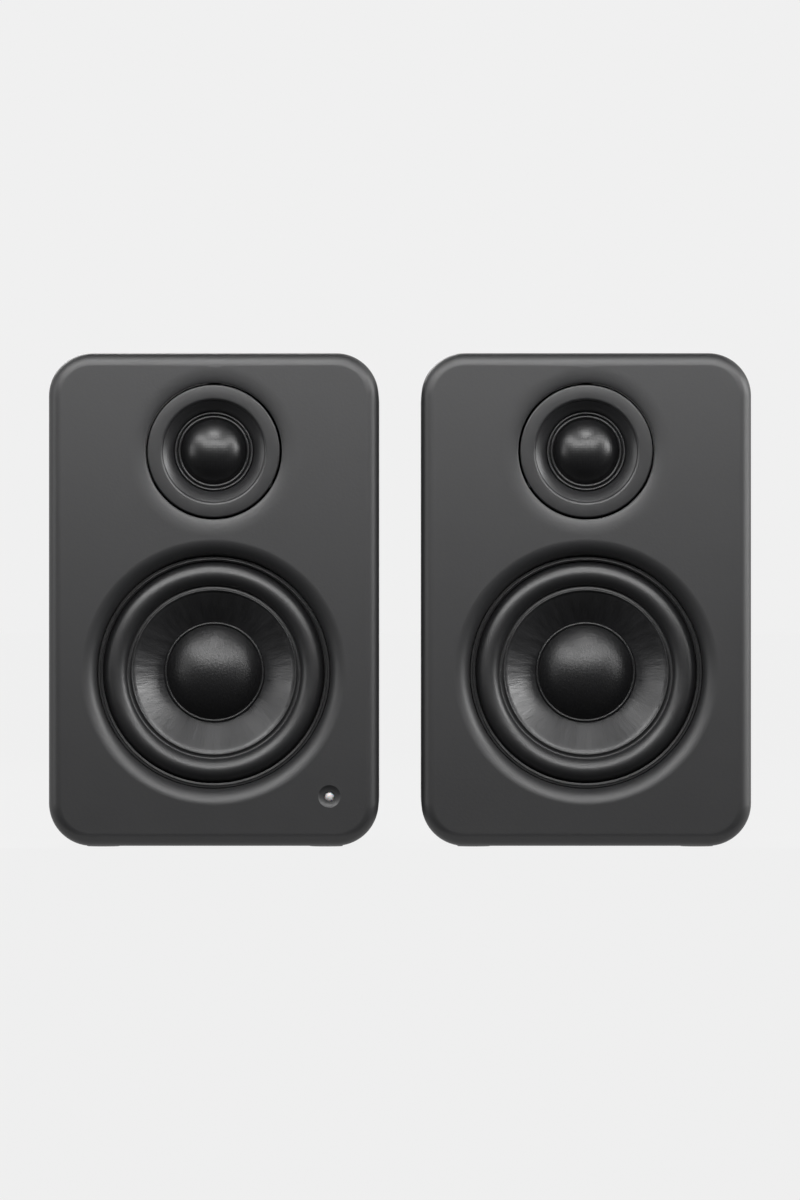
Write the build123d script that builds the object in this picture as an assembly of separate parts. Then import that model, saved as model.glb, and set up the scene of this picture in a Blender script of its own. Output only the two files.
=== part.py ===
"""A pair of compact two-way desktop speakers: a powered one on the left and a passive one on the right.

Each is a lacquered fibreboard box with a separate front baffle, a 3 inch woofer and a 3/4 inch dome
tweeter fixed from behind, a rear panel with a bass port, and stick-on feet let into the underside.
The powered one also holds the amplifier, its sockets, the volume control and the indicator light.

Each speaker is drawn in its own frame and then set in its place. There x runs across, y is the depth
behind the face of the baffle and z the height above the table. The pair's frame has its origin midway
between the speakers, on the table, halfway along the overall depth, with the fronts facing -Y.
"""

import math
import os

from build123d import *

# ---- driving dimensions, in millimetres and degrees ----

# cabinet: its width and height follow from the drivers and these margins round their openings
cabinet_depth = 107.0
side_margin = 9.6
base_margin = 12.3
driver_margin = 0.95
top_margin = 4.15
corner_radius = 13.0
front_edge_round = 4.0
rear_edge_round = 2.0
wall = 7.5
speaker_gap = 13.0

# baffle
baffle_thickness = 12.0
tongue_length = 2.0
tongue_clearance = 0.2
seam_chamfer = 0.3

# rear panel and what holds it
rebate_ledge = 3.0
panel_thickness = 3.0
panel_recess = 1.0
panel_clearance = 0.2
panel_edge = 0.4
post_size = 9.0
post_length = 12.0
panel_screw_inset = 4.2

# feet
foot_radius = 5.0
foot_thickness = 1.5
foot_proud = 0.5
foot_edge = 0.2
foot_pocket_clearance = 0.1
foot_inset_x = 16.0
foot_inset_y = 22.0

# fasteners
m3_radius = 1.5
m3_head_radius = 2.8
m3_head_height = 1.8
m2_radius = 1.0
m2_head_radius = 1.9
m2_head_height = 1.3
screw_clearance = 0.05
screw_hole_gap = 0.2
screw_end_gap = 0.2
head_round_share = 0.4
socket_radius_share = 0.5
socket_depth_share = 0.55
panel_screw_end_gap = 2.0
block_screw_overrun = 1.0

# woofer opening in the baffle
opening_radius = 35.4
lip_round = 5.0
seat_depth = 6.5

# woofer frame
flange_margin = 4.2
flange_trim = 5.6
flange_corner = 5.0
flange_thickness = 1.6
flange_land = 3.0
flange_clearance = 0.3
ear_inset = 4.5
woofer_screw_bite = 3.9
frame_wall = 1.2
frame_shoulder_depth = 20.0
frame_shoulder_radius = 26.0
frame_shoulder_bore = 22.5
frame_base_depth = 27.4
frame_base_bore = 12.0
window_width = 26.0
window_inset = 1.0
tag_width = 10.0
tag_height = 4.0
tag_length = 6.0

# woofer moving parts
rubber_thickness = 0.5
rubber_gap = 0.2
roll_margin = 2.0
roll_width = 7.1
roll_height = 3.3
cone_land = 1.9
cone_rim_gap = 0.1
cone_thickness = 0.7
cone_drop = 10.9
cap_radius = 14.3
cap_height = 6.6
cap_thickness = 0.5
cap_bead = 1.0
cap_bead_height = 0.45
cap_foot_rise = 0.2
glue_gap = 0.05
coil_radius = 10.0
former_thickness = 0.25
former_overlap = 0.6
former_tail = 0.4
winding_thickness = 0.5
winding_length = 6.0
spider_thickness = 0.4
spider_wave = 0.45
spider_rolls = 3
spider_land = 1.0
spider_edge_land = 0.5
spider_edge_gap = 0.3

# woofer motor
top_plate_radius = 27.0
top_plate_thickness = 3.6
magnet_radius = 27.5
magnet_bore = 14.0
magnet_thickness = 10.0
magnet_edge = 0.6
yoke_radius = 26.0
yoke_thickness = 4.0
yoke_edge = 1.0
pole_proud = 0.2
coil_gap = 0.4

# gasket round the woofer's surround
gasket_gap = 0.3
gasket_height = 1.0
gasket_bead = 0.3
gasket_bead_inset = 0.3

# tweeter
plate_radius = 20.1
plate_thickness = 3.2
plate_gap = 0.35
plate_edge = 0.45
plate_dish_width = 5.2
plate_dish_depth = 0.8
plate_land = 3.8
neck_length = 3.2
neck_clearance = 0.3
neck_wall = 0.9
bowl_lip = 0.9
bowl_width = 3.0
bowl_depth = 4.4
bowl_floor = 0.8
bowl_bulge_in = 0.75
bowl_bulge_down = 0.68
eye_margin = 1.1
eye_bead = 0.35
tweeter_screw_inset = 1.7
tweeter_screw_bite = 1.8
dome_margin = 1.4
dome_height = 5.3
dome_thickness = 0.2
dome_roll_height = 0.7
dome_skirt_width = 1.4
dome_skirt_clearance = 0.3
tweeter_former_thickness = 0.12
tweeter_winding_thickness = 0.3
tweeter_winding_overhang = 0.3
tweeter_coil_gap = 0.35
tweeter_coil_length = 6.2
pole_setback = 1.4
pole_plate_thickness = 2.6
tweeter_magnet_inset = 0.9
tweeter_magnet_thickness = 5.0
cup_clearance = 1.3
cup_floor = 3.0
cup_edge = 1.0

# bass port
port_drop = 30.5
port_radius = 11.5
port_wall = 1.8
port_length = 52.0
port_collar_radius = 15.0
port_collar_length = 9.0
port_flare = 5.0
port_flange_radius = 19.0
port_flange_thickness = 1.5
port_flange_edge = 0.5

# indicator light
light_inset = 14.9
light_rise = 15.1
light_radius = 1.5
light_collar_radius = 2.2
light_dish_radius = 3.4
light_dish_depth = 0.55
light_setback = 0.1
light_nose_share = 0.6
light_board_size = 8.5
light_board_gap = 1.2
light_board_thickness = 1.0
lamp_width = 2.6
lamp_tall = 1.8
lamp_setback = 0.1
light_post_radius = 0.9
light_post_offset = 3.0

# amplifier board and what stands on it, each place as across and up from the board's middle
board_gap = 14.0
board_thickness = 1.6
board_margin = 8.5
board_tall = 51.5
board_drop = 3.0
board_corner = 2.0
standoff_radius = 2.5
standoff_inset = 3.0
upper_standoff_x = 12.0
upper_standoff_inset = 4.0
can_radius = 5.0
can_length = 20.0
can_edge = 0.8
can_places = ((-24.0, -16.25), (-12.0, -16.25), (0.0, -16.25), (26.0, 15.75))
choke_size = 11.0
choke_height = 7.0
choke_corner = 1.5
choke_places = ((14.0, -18.25), (27.0, -18.25), (14.0, -5.25), (27.0, -5.25))
sink_place = (-14.0, 3.75)
sink_width = 26.0
sink_tall = 20.0
sink_base = 3.0
chip_size = 9.0
chip_height = 1.0
fin_count = 6
fin_thickness = 1.6
fin_length = 10.0

# crossover board and its parts, each place as across and up from the board's middle
crossover_height = 30.0
crossover_width = 56.0
crossover_tall = 28.0
crossover_hole_x = 24.0
crossover_hole_rise = 10.0
film_place = (-14.0, 0.0)
film_radius = 6.5
film_length = 22.0
resistor_place = (12.0, -10.0)
resistor_length = 22.0
resistor_side = 6.0
air_coil_place = (14.0, 4.0)
air_coil_radius = 9.5
air_coil_bore = 5.0
air_coil_length = 9.0

# rear controls and sockets: how far in from the side walls, up from the box's middle or over the table
side_inset = 18.5
knob_rise = 8.75
socket_rise = 6.75
lower_socket_drop = 17.25
left_terminals_height = 27.0
right_terminals_height = 60.0

# volume control
knob_radius = 10.0
knob_proud = 8.0
knob_base_gap = 1.0
knob_skirt_wall = 2.5
knob_skirt_depth = 3.2
knob_cap = 1.6
knob_edge = 0.8
knob_flutes = 30
knob_flute_radius = 0.45
knob_bore_gap = 0.02
pointer_width = 1.2
pointer_length = 5.5
pointer_corner = 0.54
pointer_depth = 0.4
pointer_inset = 1.2
pointer_rest_turn = 30.0
shaft_radius = 3.0
shaft_clearance = 0.05
shaft_setback = 4.0
shaft_end_gap = 0.1
bushing_radius = 3.5
bushing_length = 3.4
nut_across = 10.0
nut_thickness = 2.0
pot_size = 16.0
pot_length = 11.0
pot_corner = 1.5

# sockets
panel_hole_clearance = 0.15
body_gap = 0.3
aux_bore = 1.8
aux_barrel_radius = 3.0
aux_body = 9.0
aux_proud = 2.6
aux_depth = 14.5
aux_nut_across = 8.0
aux_nut_thickness = 1.6
sub_shell_radius = 4.15
sub_shell_wall = 0.7
sub_core_radius = 2.9
sub_core_setback = 0.4
sub_bore = 1.65
sub_bore_depth = 8.0
sub_proud = 7.6
sub_collar_radius = 5.4
sub_collar_thickness = 1.4
sub_body = 10.0
dc_bore = 2.85
dc_depth = 9.5
dc_pin_radius = 1.05
dc_pin_setback = 1.0
dc_barrel_radius = 4.0
dc_body = 11.0
dc_proud = 0.8
usb_width = 12.0
usb_tall = 11.0
usb_mouth_width = 8.45
usb_mouth_tall = 7.78
usb_mouth_chamfer = 1.5
usb_depth = 9.0
usb_tongue_width = 5.6
usb_tongue_tall = 3.2
usb_tongue_setback = 1.0
usb_proud = 0.6

# lever terminals
block_width = 44.0
block_tall = 27.0
block_flange = 2.0
block_corner = 3.0
block_edge = 0.6
block_body_width = 33.0
block_body_tall = 21.0
block_body_depth = 12.0
block_body_clearance = 0.2
block_screw_pitch = 38.0
block_screw_gap = 0.1
way_pitch = 15.0
bay_width = 11.6
bay_top = 9.6
bay_bottom = -2.8
bay_depth = 8.0
lever_side_clearance = 0.2
lever_top = 8.6
lever_bottom = -2.0
lever_back = 0.3
lever_front = 3.9
lever_edge = 1.2
grip_count = 3
grip_first = 2.6
grip_pitch = 1.6
grip_radius = 0.4
grip_margin = 1.0
pivot_out = 1.0
pivot_up = -0.8
pivot_radius = 0.9
pivot_length = 1.4
pivot_clearance = 0.06
pivot_end_gap = 0.1
wire_slot_width = 3.4
wire_slot_tall = 3.2
wire_slot_drop = 6.6
wire_slot_corner = 0.8
contact_width = 3.0
contact_thickness = 0.5
contact_slit_gap = 0.1
contact_tab = 4.0
contact_rise = 1.2
contact_knee = 1.0
contact_short = 3.5
contact_gap = 0.3

# lining
wadding_thickness = 5.0
wadding_inset = 0.3
wadding_front = 18.0
wadding_back_gap = 7.0

# internal leads: where each meets its board, across and up from the board's middle, and the slack points on
# the way, as across, ahead of the board's face and up from the box's middle
lead_radius = 1.1
lead_exit = 12.6
terminal_lead_exit = 10.7
bend_share = 0.45
tweeter_lead_x = 6.0
tweeter_lead_inset = 4.0
powered_lead_ends = ((8.0, 15.75), (13.0, 7.75), (-6.0, -23.65))
powered_slack = (
    [(5, 43.4, 17.75), (9, 27.4, 18.75)],
    [(10, 41.4, 26.75), (12, 27.4, 17.75)],
    [(-7, 15.4, -39.25)],
)
passive_lead_ends = ((-1.5, 6.0), (-1.5, -2.0), (-5.0, 11.0))
passive_slack = (
    [(-3, 49.4, 9.75), (-5, 34.4, -2.25), (-4, 21.4, -18.25)],
    [(7, 48.4, 25.75), (6, 37.4, 12.75), (4, 28.4, -4.25), (1, 19.4, -25.25)],
    [(-8, 19.4, -25.75)],
)

# ---- sizes worked out from them ----

# front: the openings, with the box just large enough for them
lip_radius = opening_radius + lip_round
plate_dish_radius = plate_radius + plate_gap + plate_dish_width
woofer_height = foot_proud + base_margin + lip_radius
tweeter_height = woofer_height + lip_radius + driver_margin + plate_dish_radius
cabinet_width = 2 * (lip_radius + side_margin)
cabinet_top = tweeter_height + plate_dish_radius + top_margin
cabinet_height = cabinet_top - foot_proud
light_x = cabinet_width / 2 - light_inset
light_height = foot_proud + light_rise

# box
overall_depth = cabinet_depth + knob_proud
front_y = -overall_depth / 2
half_pitch = (cabinet_width + speaker_gap) / 2
box_middle = foot_proud + cabinet_height / 2
inner_width = cabinet_width - 2 * wall
inner_height = cabinet_height - 2 * wall
inner_corner = corner_radius - wall
baffle_back = baffle_thickness + tongue_length
rebate_depth = panel_thickness + panel_recess
panel_front = cabinet_depth - rebate_depth
panel_face = cabinet_depth - panel_recess
board_back = panel_front - board_gap
board_front = board_back - board_thickness
crossover_front = panel_front - board_gap / 2 - board_thickness
port_height = cabinet_top - port_drop

# rear controls, sockets and boards, seen from the front: x and height
side_x = inner_width / 2 - side_inset
knob_place = (side_x, box_middle + knob_rise)
aux_place = (0.0, box_middle + socket_rise)
sub_place = (-side_x, box_middle + socket_rise)
usb_place = (-side_x, box_middle - lower_socket_drop)
dc_place = (side_x, box_middle - lower_socket_drop)
left_terminals_place = (0.0, left_terminals_height)
right_terminals_place = (0.0, right_terminals_height)
board_middle = box_middle - board_drop
board_width = inner_width - 2 * board_margin
block_wall_depth = block_body_depth - bay_depth
contact_height = bay_bottom + contact_rise

# woofer, with its depths from the baffle's face
flange_radius = opening_radius + flange_margin
flange_square = 2 * (flange_radius - flange_trim)
ear_pitch = flange_square - 2 * ear_inset
flange_bore = opening_radius - flange_land
roll_outer = opening_radius - roll_margin
roll_inner = roll_outer - roll_width
cone_rim = roll_inner - cone_land
rubber_edge = opening_radius - rubber_gap
gasket_inner = roll_outer + gasket_gap
woofer_screw_tip = seat_depth - woofer_screw_bite
rubber_face = seat_depth - rubber_thickness
roll_middle = (roll_inner + roll_outer) / 2
former_outer = coil_radius + former_thickness
winding_outer = former_outer + winding_thickness
cone_slope = cone_drop / (cone_rim - former_outer)
neck_depth = seat_depth + cone_drop
plate_back = frame_base_depth + top_plate_thickness
magnet_back = plate_back + magnet_thickness
yoke_back = magnet_back + yoke_thickness
winding_front = (frame_base_depth + plate_back - winding_length) / 2
winding_back = winding_front + winding_length
spider_depth = frame_shoulder_depth - spider_thickness

# tweeter, with its depths from the baffle's face
neck_radius = plate_radius - plate_land
bowl_radius = neck_radius - neck_wall
bowl_floor_radius = bowl_radius - bowl_width
eye_radius = bowl_floor_radius - eye_margin
dome_radius = eye_radius - dome_margin
tweeter_screw_circle = plate_radius - tweeter_screw_inset
cup_radius = neck_radius - cup_clearance
tweeter_magnet_radius = dome_radius - tweeter_magnet_inset
plate_face = plate_dish_depth
plate_seat = plate_face + plate_thickness
neck_back = plate_seat + neck_length
bowl_bottom = plate_face + bowl_depth
dome_base = bowl_bottom + bowl_floor
tweeter_former_outer = dome_radius + tweeter_former_thickness
tweeter_winding_outer = tweeter_former_outer + tweeter_winding_thickness
pole_front = neck_back + pole_setback
pole_back = pole_front + pole_plate_thickness
tweeter_magnet_back = pole_back + tweeter_magnet_thickness
cup_back = tweeter_magnet_back + cup_floor


# how far a cut runs past the face that it opens
overrun = 1.0


# ---- drawing helpers ----


def profile(start, *steps):
    """A closed face. A step is a point, for a line, or a pair of points: an arc through one to the other."""
    edges = []
    here = start
    for step in (*steps, start):
        through = step[0] if isinstance(step[0], tuple) else None
        there = step[1] if through else step
        if through:
            edges.append(ThreePointArc(here, through, there))
        elif there != here:
            edges.append(Line(here, there))
        here = there
    return make_face(edges)


def turned(face):
    """A solid of revolution. The face is drawn in radius and depth behind the baffle's face."""
    return revolve(face, Axis.Y, 360)


def plate(sketch, depth, thickness):
    """A sketch drawn across and up, made into a plate that starts at that depth."""
    return extrude(Plane.XZ.offset(-depth) * sketch, amount=-thickness)


def rod(radius, front, back, x=0.0, z=0.0):
    """A round bar along the depth."""
    return plate(Pos(x, z) * Circle(radius), front, back - front)


def block(width, tall, front, back, x=0.0, z=0.0):
    """A rectangular bar along the depth."""
    return plate(Pos(x, z) * Rectangle(width, tall), front, back - front)


def quarter(centre, start, end):
    """The point halfway along the short arc from start to end about centre."""
    radius = math.dist(centre, start)
    out = ((start[0] + end[0]) / 2 - centre[0], (start[1] + end[1]) / 2 - centre[1])
    share = radius / math.hypot(*out)
    return (centre[0] + out[0] * share, centre[1] + out[1] * share)


def dome_crown(radius, height):
    """The radius of the sphere whose cap has that base radius and height."""
    return (radius**2 + height**2) / (2 * height)


def cap_face(radius, base, height, thickness):
    """The section of a spherical cap of even thickness that stands forward of its base."""
    sphere = dome_crown(radius, height)
    centre = base - height + sphere
    inner = sphere - thickness
    inner_base = math.sqrt(inner**2 - (centre - base) ** 2)
    mid_out = (radius / 2, centre - math.sqrt(sphere**2 - radius**2 / 4))
    mid_in = (inner_base / 2, centre - math.sqrt(inner**2 - inner_base**2 / 4))
    return profile(
        (0, base - height),
        (mid_out, (radius, base)),
        (inner_base, base),
        (mid_in, (0, centre - inner)),
    )


def screw(radius, head_radius, head_height, seat, tip, x, z):
    """A round-headed screw with a hexagon socket. Its head bears at seat, and its shank runs to tip."""
    outwards = 1 if seat > tip else -1
    top = seat + outwards * head_height
    body = rod(radius, min(seat, tip), max(seat, tip), x, z)
    head = rod(head_radius, min(seat, top), max(seat, top), x, z)
    crown = head.faces().sort_by(Axis.Y)[-1 if outwards > 0 else 0]
    head = fillet(crown.edges(), head_height * head_round_share)
    floor = top - outwards * head_height * socket_depth_share
    hexagon = Pos(x, z) * RegularPolygon(head_radius * socket_radius_share, 6)
    socket = plate(hexagon, min(floor, top), abs(top - floor))
    return body + head - socket


def lead(points):
    """A round cable through the points, with each bend as wide as its two runs allow."""
    spots = [Vector(*p) for p in points]
    runs = [b - a for a, b in zip(spots, spots[1:])]
    radii = []
    for one, two in zip(runs, runs[1:]):
        half_turn = math.radians(one.get_angle(two)) / 2
        radii.append(bend_share * min(one.length, two.length) / math.tan(half_turn))
    path = FilletPolyline(*spots, radius=radii)
    section = Plane(origin=spots[0], z_dir=runs[0]) * Circle(lead_radius)
    return sweep(section, path=path)


def box_outline(width, height, radius):
    return Pos(0, box_middle) * RectangleRounded(width, height, radius)


def at_woofer(part):
    return Pos(0, 0, woofer_height) * part


def at_tweeter(part):
    return Pos(0, 0, tweeter_height) * part


# ---- cabinet ----


def foot_spots():
    x = cabinet_width / 2 - foot_inset_x
    return [(sx * x, y) for sx in (-1, 1) for y in (foot_inset_y, cabinet_depth - foot_inset_y)]


def panel_screw_spots():
    """Four corners and the middle of each side."""
    x = inner_width / 2 - panel_screw_inset
    z = inner_height / 2 - panel_screw_inset
    return [(sx * x, box_middle + sz * z) for sx in (-1, 1) for sz in (-1, 0, 1)]


def make_cabinet():
    """The sleeve behind the baffle, with the rebate for the rear panel and six screw posts."""
    outside = box_outline(cabinet_width, cabinet_height, corner_radius)
    inside = box_outline(inner_width, inner_height, inner_corner)
    length = cabinet_depth - baffle_thickness
    sleeve = plate(outside, baffle_thickness, length)
    sleeve = fillet(sleeve.faces().sort_by(Axis.Y)[-1].edges(), rear_edge_round)
    sleeve = chamfer(sleeve.faces().sort_by(Axis.Y)[0].edges(), seam_chamfer)
    sleeve -= plate(inside, baffle_thickness, length)
    hollow = plate(inside, panel_front - post_length, post_length)
    for x, z in panel_screw_spots():
        reach = post_size - panel_screw_inset
        side = math.copysign(1, x)
        middle_x = x + side * (panel_screw_inset - reach) / 2
        post = block(post_size, 2 * reach, panel_front - post_length, panel_front, middle_x, z)
        if z != box_middle:
            post += block(2 * reach, 2 * reach + post_size, panel_front - post_length, panel_front, x, z)
        sleeve += post & hollow
    rebate = box_outline(
        inner_width + 2 * rebate_ledge, inner_height + 2 * rebate_ledge, inner_corner + rebate_ledge
    )
    sleeve -= plate(rebate, panel_front, rebate_depth)
    for x, z in panel_screw_spots():
        sleeve -= rod(m3_radius + screw_clearance, panel_front - post_length, panel_front, x, z)
    pocket = foot_thickness - foot_proud
    for x, y in foot_spots():
        sleeve -= Pos(x, y, foot_proud + pocket / 2) * Cylinder(foot_radius + foot_pocket_clearance, pocket)
    return sleeve


def make_feet():
    disc = Cylinder(foot_radius, foot_thickness)
    foot = fillet(disc.edges().sort_by(Axis.Z)[0], foot_edge)
    return [Pos(x, y, foot_thickness / 2) * foot for x, y in foot_spots()]


def woofer_cutter():
    """The woofer's opening: a broad rounded lip that runs into a plain bore."""
    lip_centre = (lip_radius, lip_round)
    return turned(
        profile(
            (0, -overrun),
            (lip_radius, -overrun),
            (lip_radius, 0),
            (quarter(lip_centre, (lip_radius, 0), (opening_radius, lip_round)), (opening_radius, lip_round)),
            (opening_radius, baffle_back + overrun),
            (0, baffle_back + overrun),
        )
    )


def tweeter_cutter():
    """The tweeter's opening: a shallow roll down to the plate, the plate's seat and the bore for its neck."""
    edge = plate_radius + plate_gap
    curve = dome_crown(plate_dish_width, plate_dish_depth)
    middle = (edge + plate_dish_width / 2, curve - math.sqrt(curve**2 - plate_dish_width**2 / 4))
    bore = neck_radius + neck_clearance
    return turned(
        profile(
            (0, -overrun),
            (plate_dish_radius, -overrun),
            (plate_dish_radius, 0),
            (middle, (edge, plate_dish_depth)),
            (edge, plate_seat),
            (bore, plate_seat),
            (bore, baffle_back + overrun),
            (0, baffle_back + overrun),
        )
    )


def flange_outline(extra=0.0):
    """The woofer flange seen from the front: a disc with four screw ears."""
    side = flange_square + 2 * extra
    return Circle(flange_radius + extra) + RectangleRounded(side, side, flange_corner + extra)


def ear_spots():
    return [(sx * ear_pitch / 2, sz * ear_pitch / 2) for sx in (-1, 1) for sz in (-1, 1)]


def tweeter_screw_spots():
    angles = [math.radians(90 + 120 * k) for k in range(3)]
    return [(tweeter_screw_circle * math.cos(a), tweeter_screw_circle * math.sin(a)) for a in angles]


def make_baffle(with_light):
    outside = box_outline(cabinet_width, cabinet_height, corner_radius)
    board = plate(outside, 0, baffle_thickness)
    board = fillet(board.faces().sort_by(Axis.Y)[0].edges(), front_edge_round)
    board = chamfer(board.faces().sort_by(Axis.Y)[-1].edges(), seam_chamfer)
    fit = 2 * tongue_clearance
    tongue = box_outline(inner_width - fit, inner_height - fit, inner_corner - tongue_clearance)
    board += plate(tongue, baffle_thickness, tongue_length)
    board -= at_woofer(woofer_cutter())
    board -= at_tweeter(tweeter_cutter())
    recess = baffle_back + overrun - seat_depth
    board -= at_woofer(plate(flange_outline(flange_clearance), seat_depth, recess))
    hole_end = woofer_screw_tip - screw_end_gap
    for x, z in ear_spots():
        board -= at_woofer(rod(m3_radius + screw_clearance, hole_end, seat_depth, x, z))
    for x, z in tweeter_screw_spots():
        board -= at_tweeter(rod(m2_radius + screw_clearance, plate_seat, baffle_back, x, z))
    if with_light:
        dish = dome_crown(light_dish_radius, light_dish_depth)
        board -= Pos(light_x, light_dish_depth - dish, light_height) * Sphere(dish)
        board -= rod(light_radius + screw_clearance, 0, baffle_back, light_x, light_height)
        collar = light_collar_radius + screw_clearance
        board -= rod(collar, baffle_thickness, baffle_back, light_x, light_height)
    return board


# ---- woofer ----


def make_woofer_frame():
    """A pressed steel basket: flange with ears, four legs, the spider's shoulder and the base."""
    wall_top = seat_depth + flange_thickness
    top = flange_bore
    shoulder = frame_shoulder_radius
    shell = profile(
        (top, seat_depth),
        (top + 2 * frame_wall, seat_depth),
        (top + 2 * frame_wall, wall_top),
        (top + frame_wall, wall_top),
        (shoulder + frame_wall, frame_shoulder_depth + frame_wall),
        (shoulder, frame_shoulder_depth + frame_wall),
        (shoulder, frame_base_depth),
        (frame_base_bore, frame_base_depth),
        (frame_base_bore, frame_base_depth - frame_wall),
        (shoulder - frame_wall, frame_base_depth - frame_wall),
        (shoulder - frame_wall, frame_shoulder_depth + frame_wall),
        (frame_shoulder_bore, frame_shoulder_depth + frame_wall),
        (frame_shoulder_bore, frame_shoulder_depth),
        (shoulder, frame_shoulder_depth),
        (top, wall_top),
    )
    frame = turned(shell) + plate(flange_outline() - Circle(flange_bore), seat_depth, flange_thickness)
    window_front = wall_top + window_inset
    window_back = frame_shoulder_depth - window_inset
    reach = 4 * flange_radius
    for width, tall in ((reach, window_width), (window_width, reach)):
        frame -= block(width, tall, window_front, window_back)
    for x, z in ear_spots():
        frame -= rod(m3_radius + screw_hole_gap, seat_depth, wall_top, x, z)
    tag_middle = (flange_bore + flange_radius) / 2
    return frame + block(tag_width, tag_height, wall_top, wall_top + tag_length, 0, tag_middle)


def make_surround():
    """A half-roll of rubber from the frame's flange to the rim of the cone."""
    crest = rubber_face - roll_height
    t = rubber_thickness
    inner = cone_rim + rubber_gap
    return turned(
        profile(
            (inner, rubber_face),
            (roll_inner, rubber_face),
            ((roll_middle, crest), (roll_outer, rubber_face)),
            (rubber_edge, rubber_face),
            (rubber_edge, seat_depth),
            (roll_outer - t, seat_depth),
            ((roll_middle, crest + t), (roll_inner + t, seat_depth)),
            (inner, seat_depth),
        )
    )


def make_gasket():
    """The ring that clamps the surround's edge, with a fine bead near its inner side."""
    face = rubber_face - gasket_height
    bead_at = gasket_inner + gasket_bead_inset
    return turned(
        profile(
            (gasket_inner, rubber_face),
            (gasket_inner, face),
            (bead_at, face),
            ((bead_at + gasket_bead, face - gasket_bead), (bead_at + 2 * gasket_bead, face)),
            (rubber_edge, face),
            (rubber_edge, rubber_face),
        )
    )


def cone_face_depth(radius):
    """How deep the front of the cone lies at that radius."""
    return seat_depth + (cone_rim - radius) * cone_slope


def make_cone():
    back = cone_thickness * math.hypot(1, cone_slope)
    rim_out = roll_inner - cone_rim_gap
    return turned(
        profile(
            (rim_out, seat_depth),
            (cone_rim, seat_depth),
            (former_outer, neck_depth),
            (former_outer, neck_depth + back),
            (cone_rim, seat_depth + back),
            (rim_out, seat_depth + back),
        )
    )


def make_dust_cap():
    """A dome with a rolled rim that is glued to the cone."""
    rim = cap_radius + cap_bead
    base = cone_face_depth(cap_radius) - glue_gap
    rim_base = cone_face_depth(rim) - glue_gap
    dome_foot = rim_base - cap_foot_rise
    sphere = dome_crown(cap_radius, cap_height)
    centre = dome_foot - cap_height + sphere
    inner = sphere - cap_thickness
    inner_foot = math.sqrt(inner**2 - (centre - dome_foot) ** 2)
    return turned(
        profile(
            (0, centre - sphere),
            ((cap_radius / 2, centre - math.sqrt(sphere**2 - cap_radius**2 / 4)), (cap_radius, dome_foot)),
            ((cap_radius + cap_bead / 2, dome_foot - cap_bead_height), (rim, rim_base)),
            (cap_radius, base),
            (inner_foot, base),
            (inner_foot, dome_foot),
            (
                (inner_foot / 2, centre - math.sqrt(inner**2 - inner_foot**2 / 4)),
                (0, centre - inner),
            ),
        )
    )


def make_voice_coil():
    """The former and its winding, as two solids."""
    front = neck_depth - former_overlap
    back = winding_back + former_tail
    former = rod(former_outer, front, back) - rod(coil_radius, front, back)
    winding = rod(winding_outer, winding_front, winding_back) - rod(former_outer, winding_front, winding_back)
    return [former, winding]


def make_spider():
    """A corrugated cloth disc from the former to the frame's shoulder."""
    flat_in = former_outer + spider_land
    flat_out = frame_shoulder_bore - spider_edge_land
    step = (flat_out - flat_in) / (2 * spider_rolls)
    t = spider_thickness
    front, back = [], []
    for k in range(2 * spider_rolls):
        start = flat_in + k * step
        wave = spider_wave if k % 2 else -spider_wave
        front.append(((start + step / 2, spider_depth + wave), (start + step, spider_depth)))
        back.insert(0, ((start + step / 2, spider_depth + t + wave), (start, spider_depth + t)))
    outer = frame_shoulder_radius - spider_edge_gap
    return turned(
        profile(
            (former_outer, spider_depth),
            (flat_in, spider_depth),
            *front,
            (outer, spider_depth),
            (outer, spider_depth + t),
            (flat_out, spider_depth + t),
            *back,
            (former_outer, spider_depth + t),
        )
    )


def make_top_plate():
    bore = winding_outer + coil_gap
    return rod(top_plate_radius, frame_base_depth, plate_back) - rod(bore, frame_base_depth, plate_back)


def make_magnet():
    ring = rod(magnet_radius, plate_back, magnet_back)
    ring = chamfer(ring.edges().filter_by(GeomType.CIRCLE), magnet_edge)
    return ring - rod(magnet_bore, plate_back, magnet_back)


def make_yoke():
    """The back plate with its pole."""
    back = rod(yoke_radius, magnet_back, yoke_back)
    back = fillet(back.faces().sort_by(Axis.Y)[-1].edges(), yoke_edge)
    pole = rod(coil_radius - coil_gap, frame_base_depth - pole_proud, magnet_back)
    return back + pole


# ---- tweeter ----


def make_tweeter_plate():
    """The ring round the dome: a flat rim, a bowl and a neck that goes through the baffle."""
    lip_start = (bowl_radius + bowl_lip, plate_face)
    lip_end = (bowl_radius, plate_face + bowl_lip)
    hollow = (
        bowl_floor_radius + bowl_width * bowl_bulge_in,
        lip_end[1] + (bowl_depth - bowl_lip) * bowl_bulge_down,
    )
    pocket = eye_radius + dome_skirt_width + dome_skirt_clearance
    bead_out = eye_radius + 2 * eye_bead
    edge_centre = (plate_radius - plate_edge, plate_face + plate_edge)
    edge_in = (plate_radius - plate_edge, plate_face)
    edge_out = (plate_radius, plate_face + plate_edge)
    ring = turned(
        profile(
            edge_in,
            (quarter(edge_centre, edge_in, edge_out), edge_out),
            (plate_radius, plate_seat),
            (neck_radius, plate_seat),
            (neck_radius, neck_back),
            (pocket, neck_back),
            (pocket, dome_base),
            (eye_radius, dome_base),
            (eye_radius, bowl_bottom),
            ((eye_radius + eye_bead, bowl_bottom - eye_bead), (bead_out, bowl_bottom)),
            (bowl_floor_radius, bowl_bottom),
            (hollow, lip_end),
            (quarter((lip_start[0], lip_end[1]), lip_start, lip_end), lip_start),
        )
    )
    for x, z in tweeter_screw_spots():
        ring -= rod(m2_radius + screw_clearance, plate_seat - tweeter_screw_bite, plate_seat, x, z)
    return ring


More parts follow.
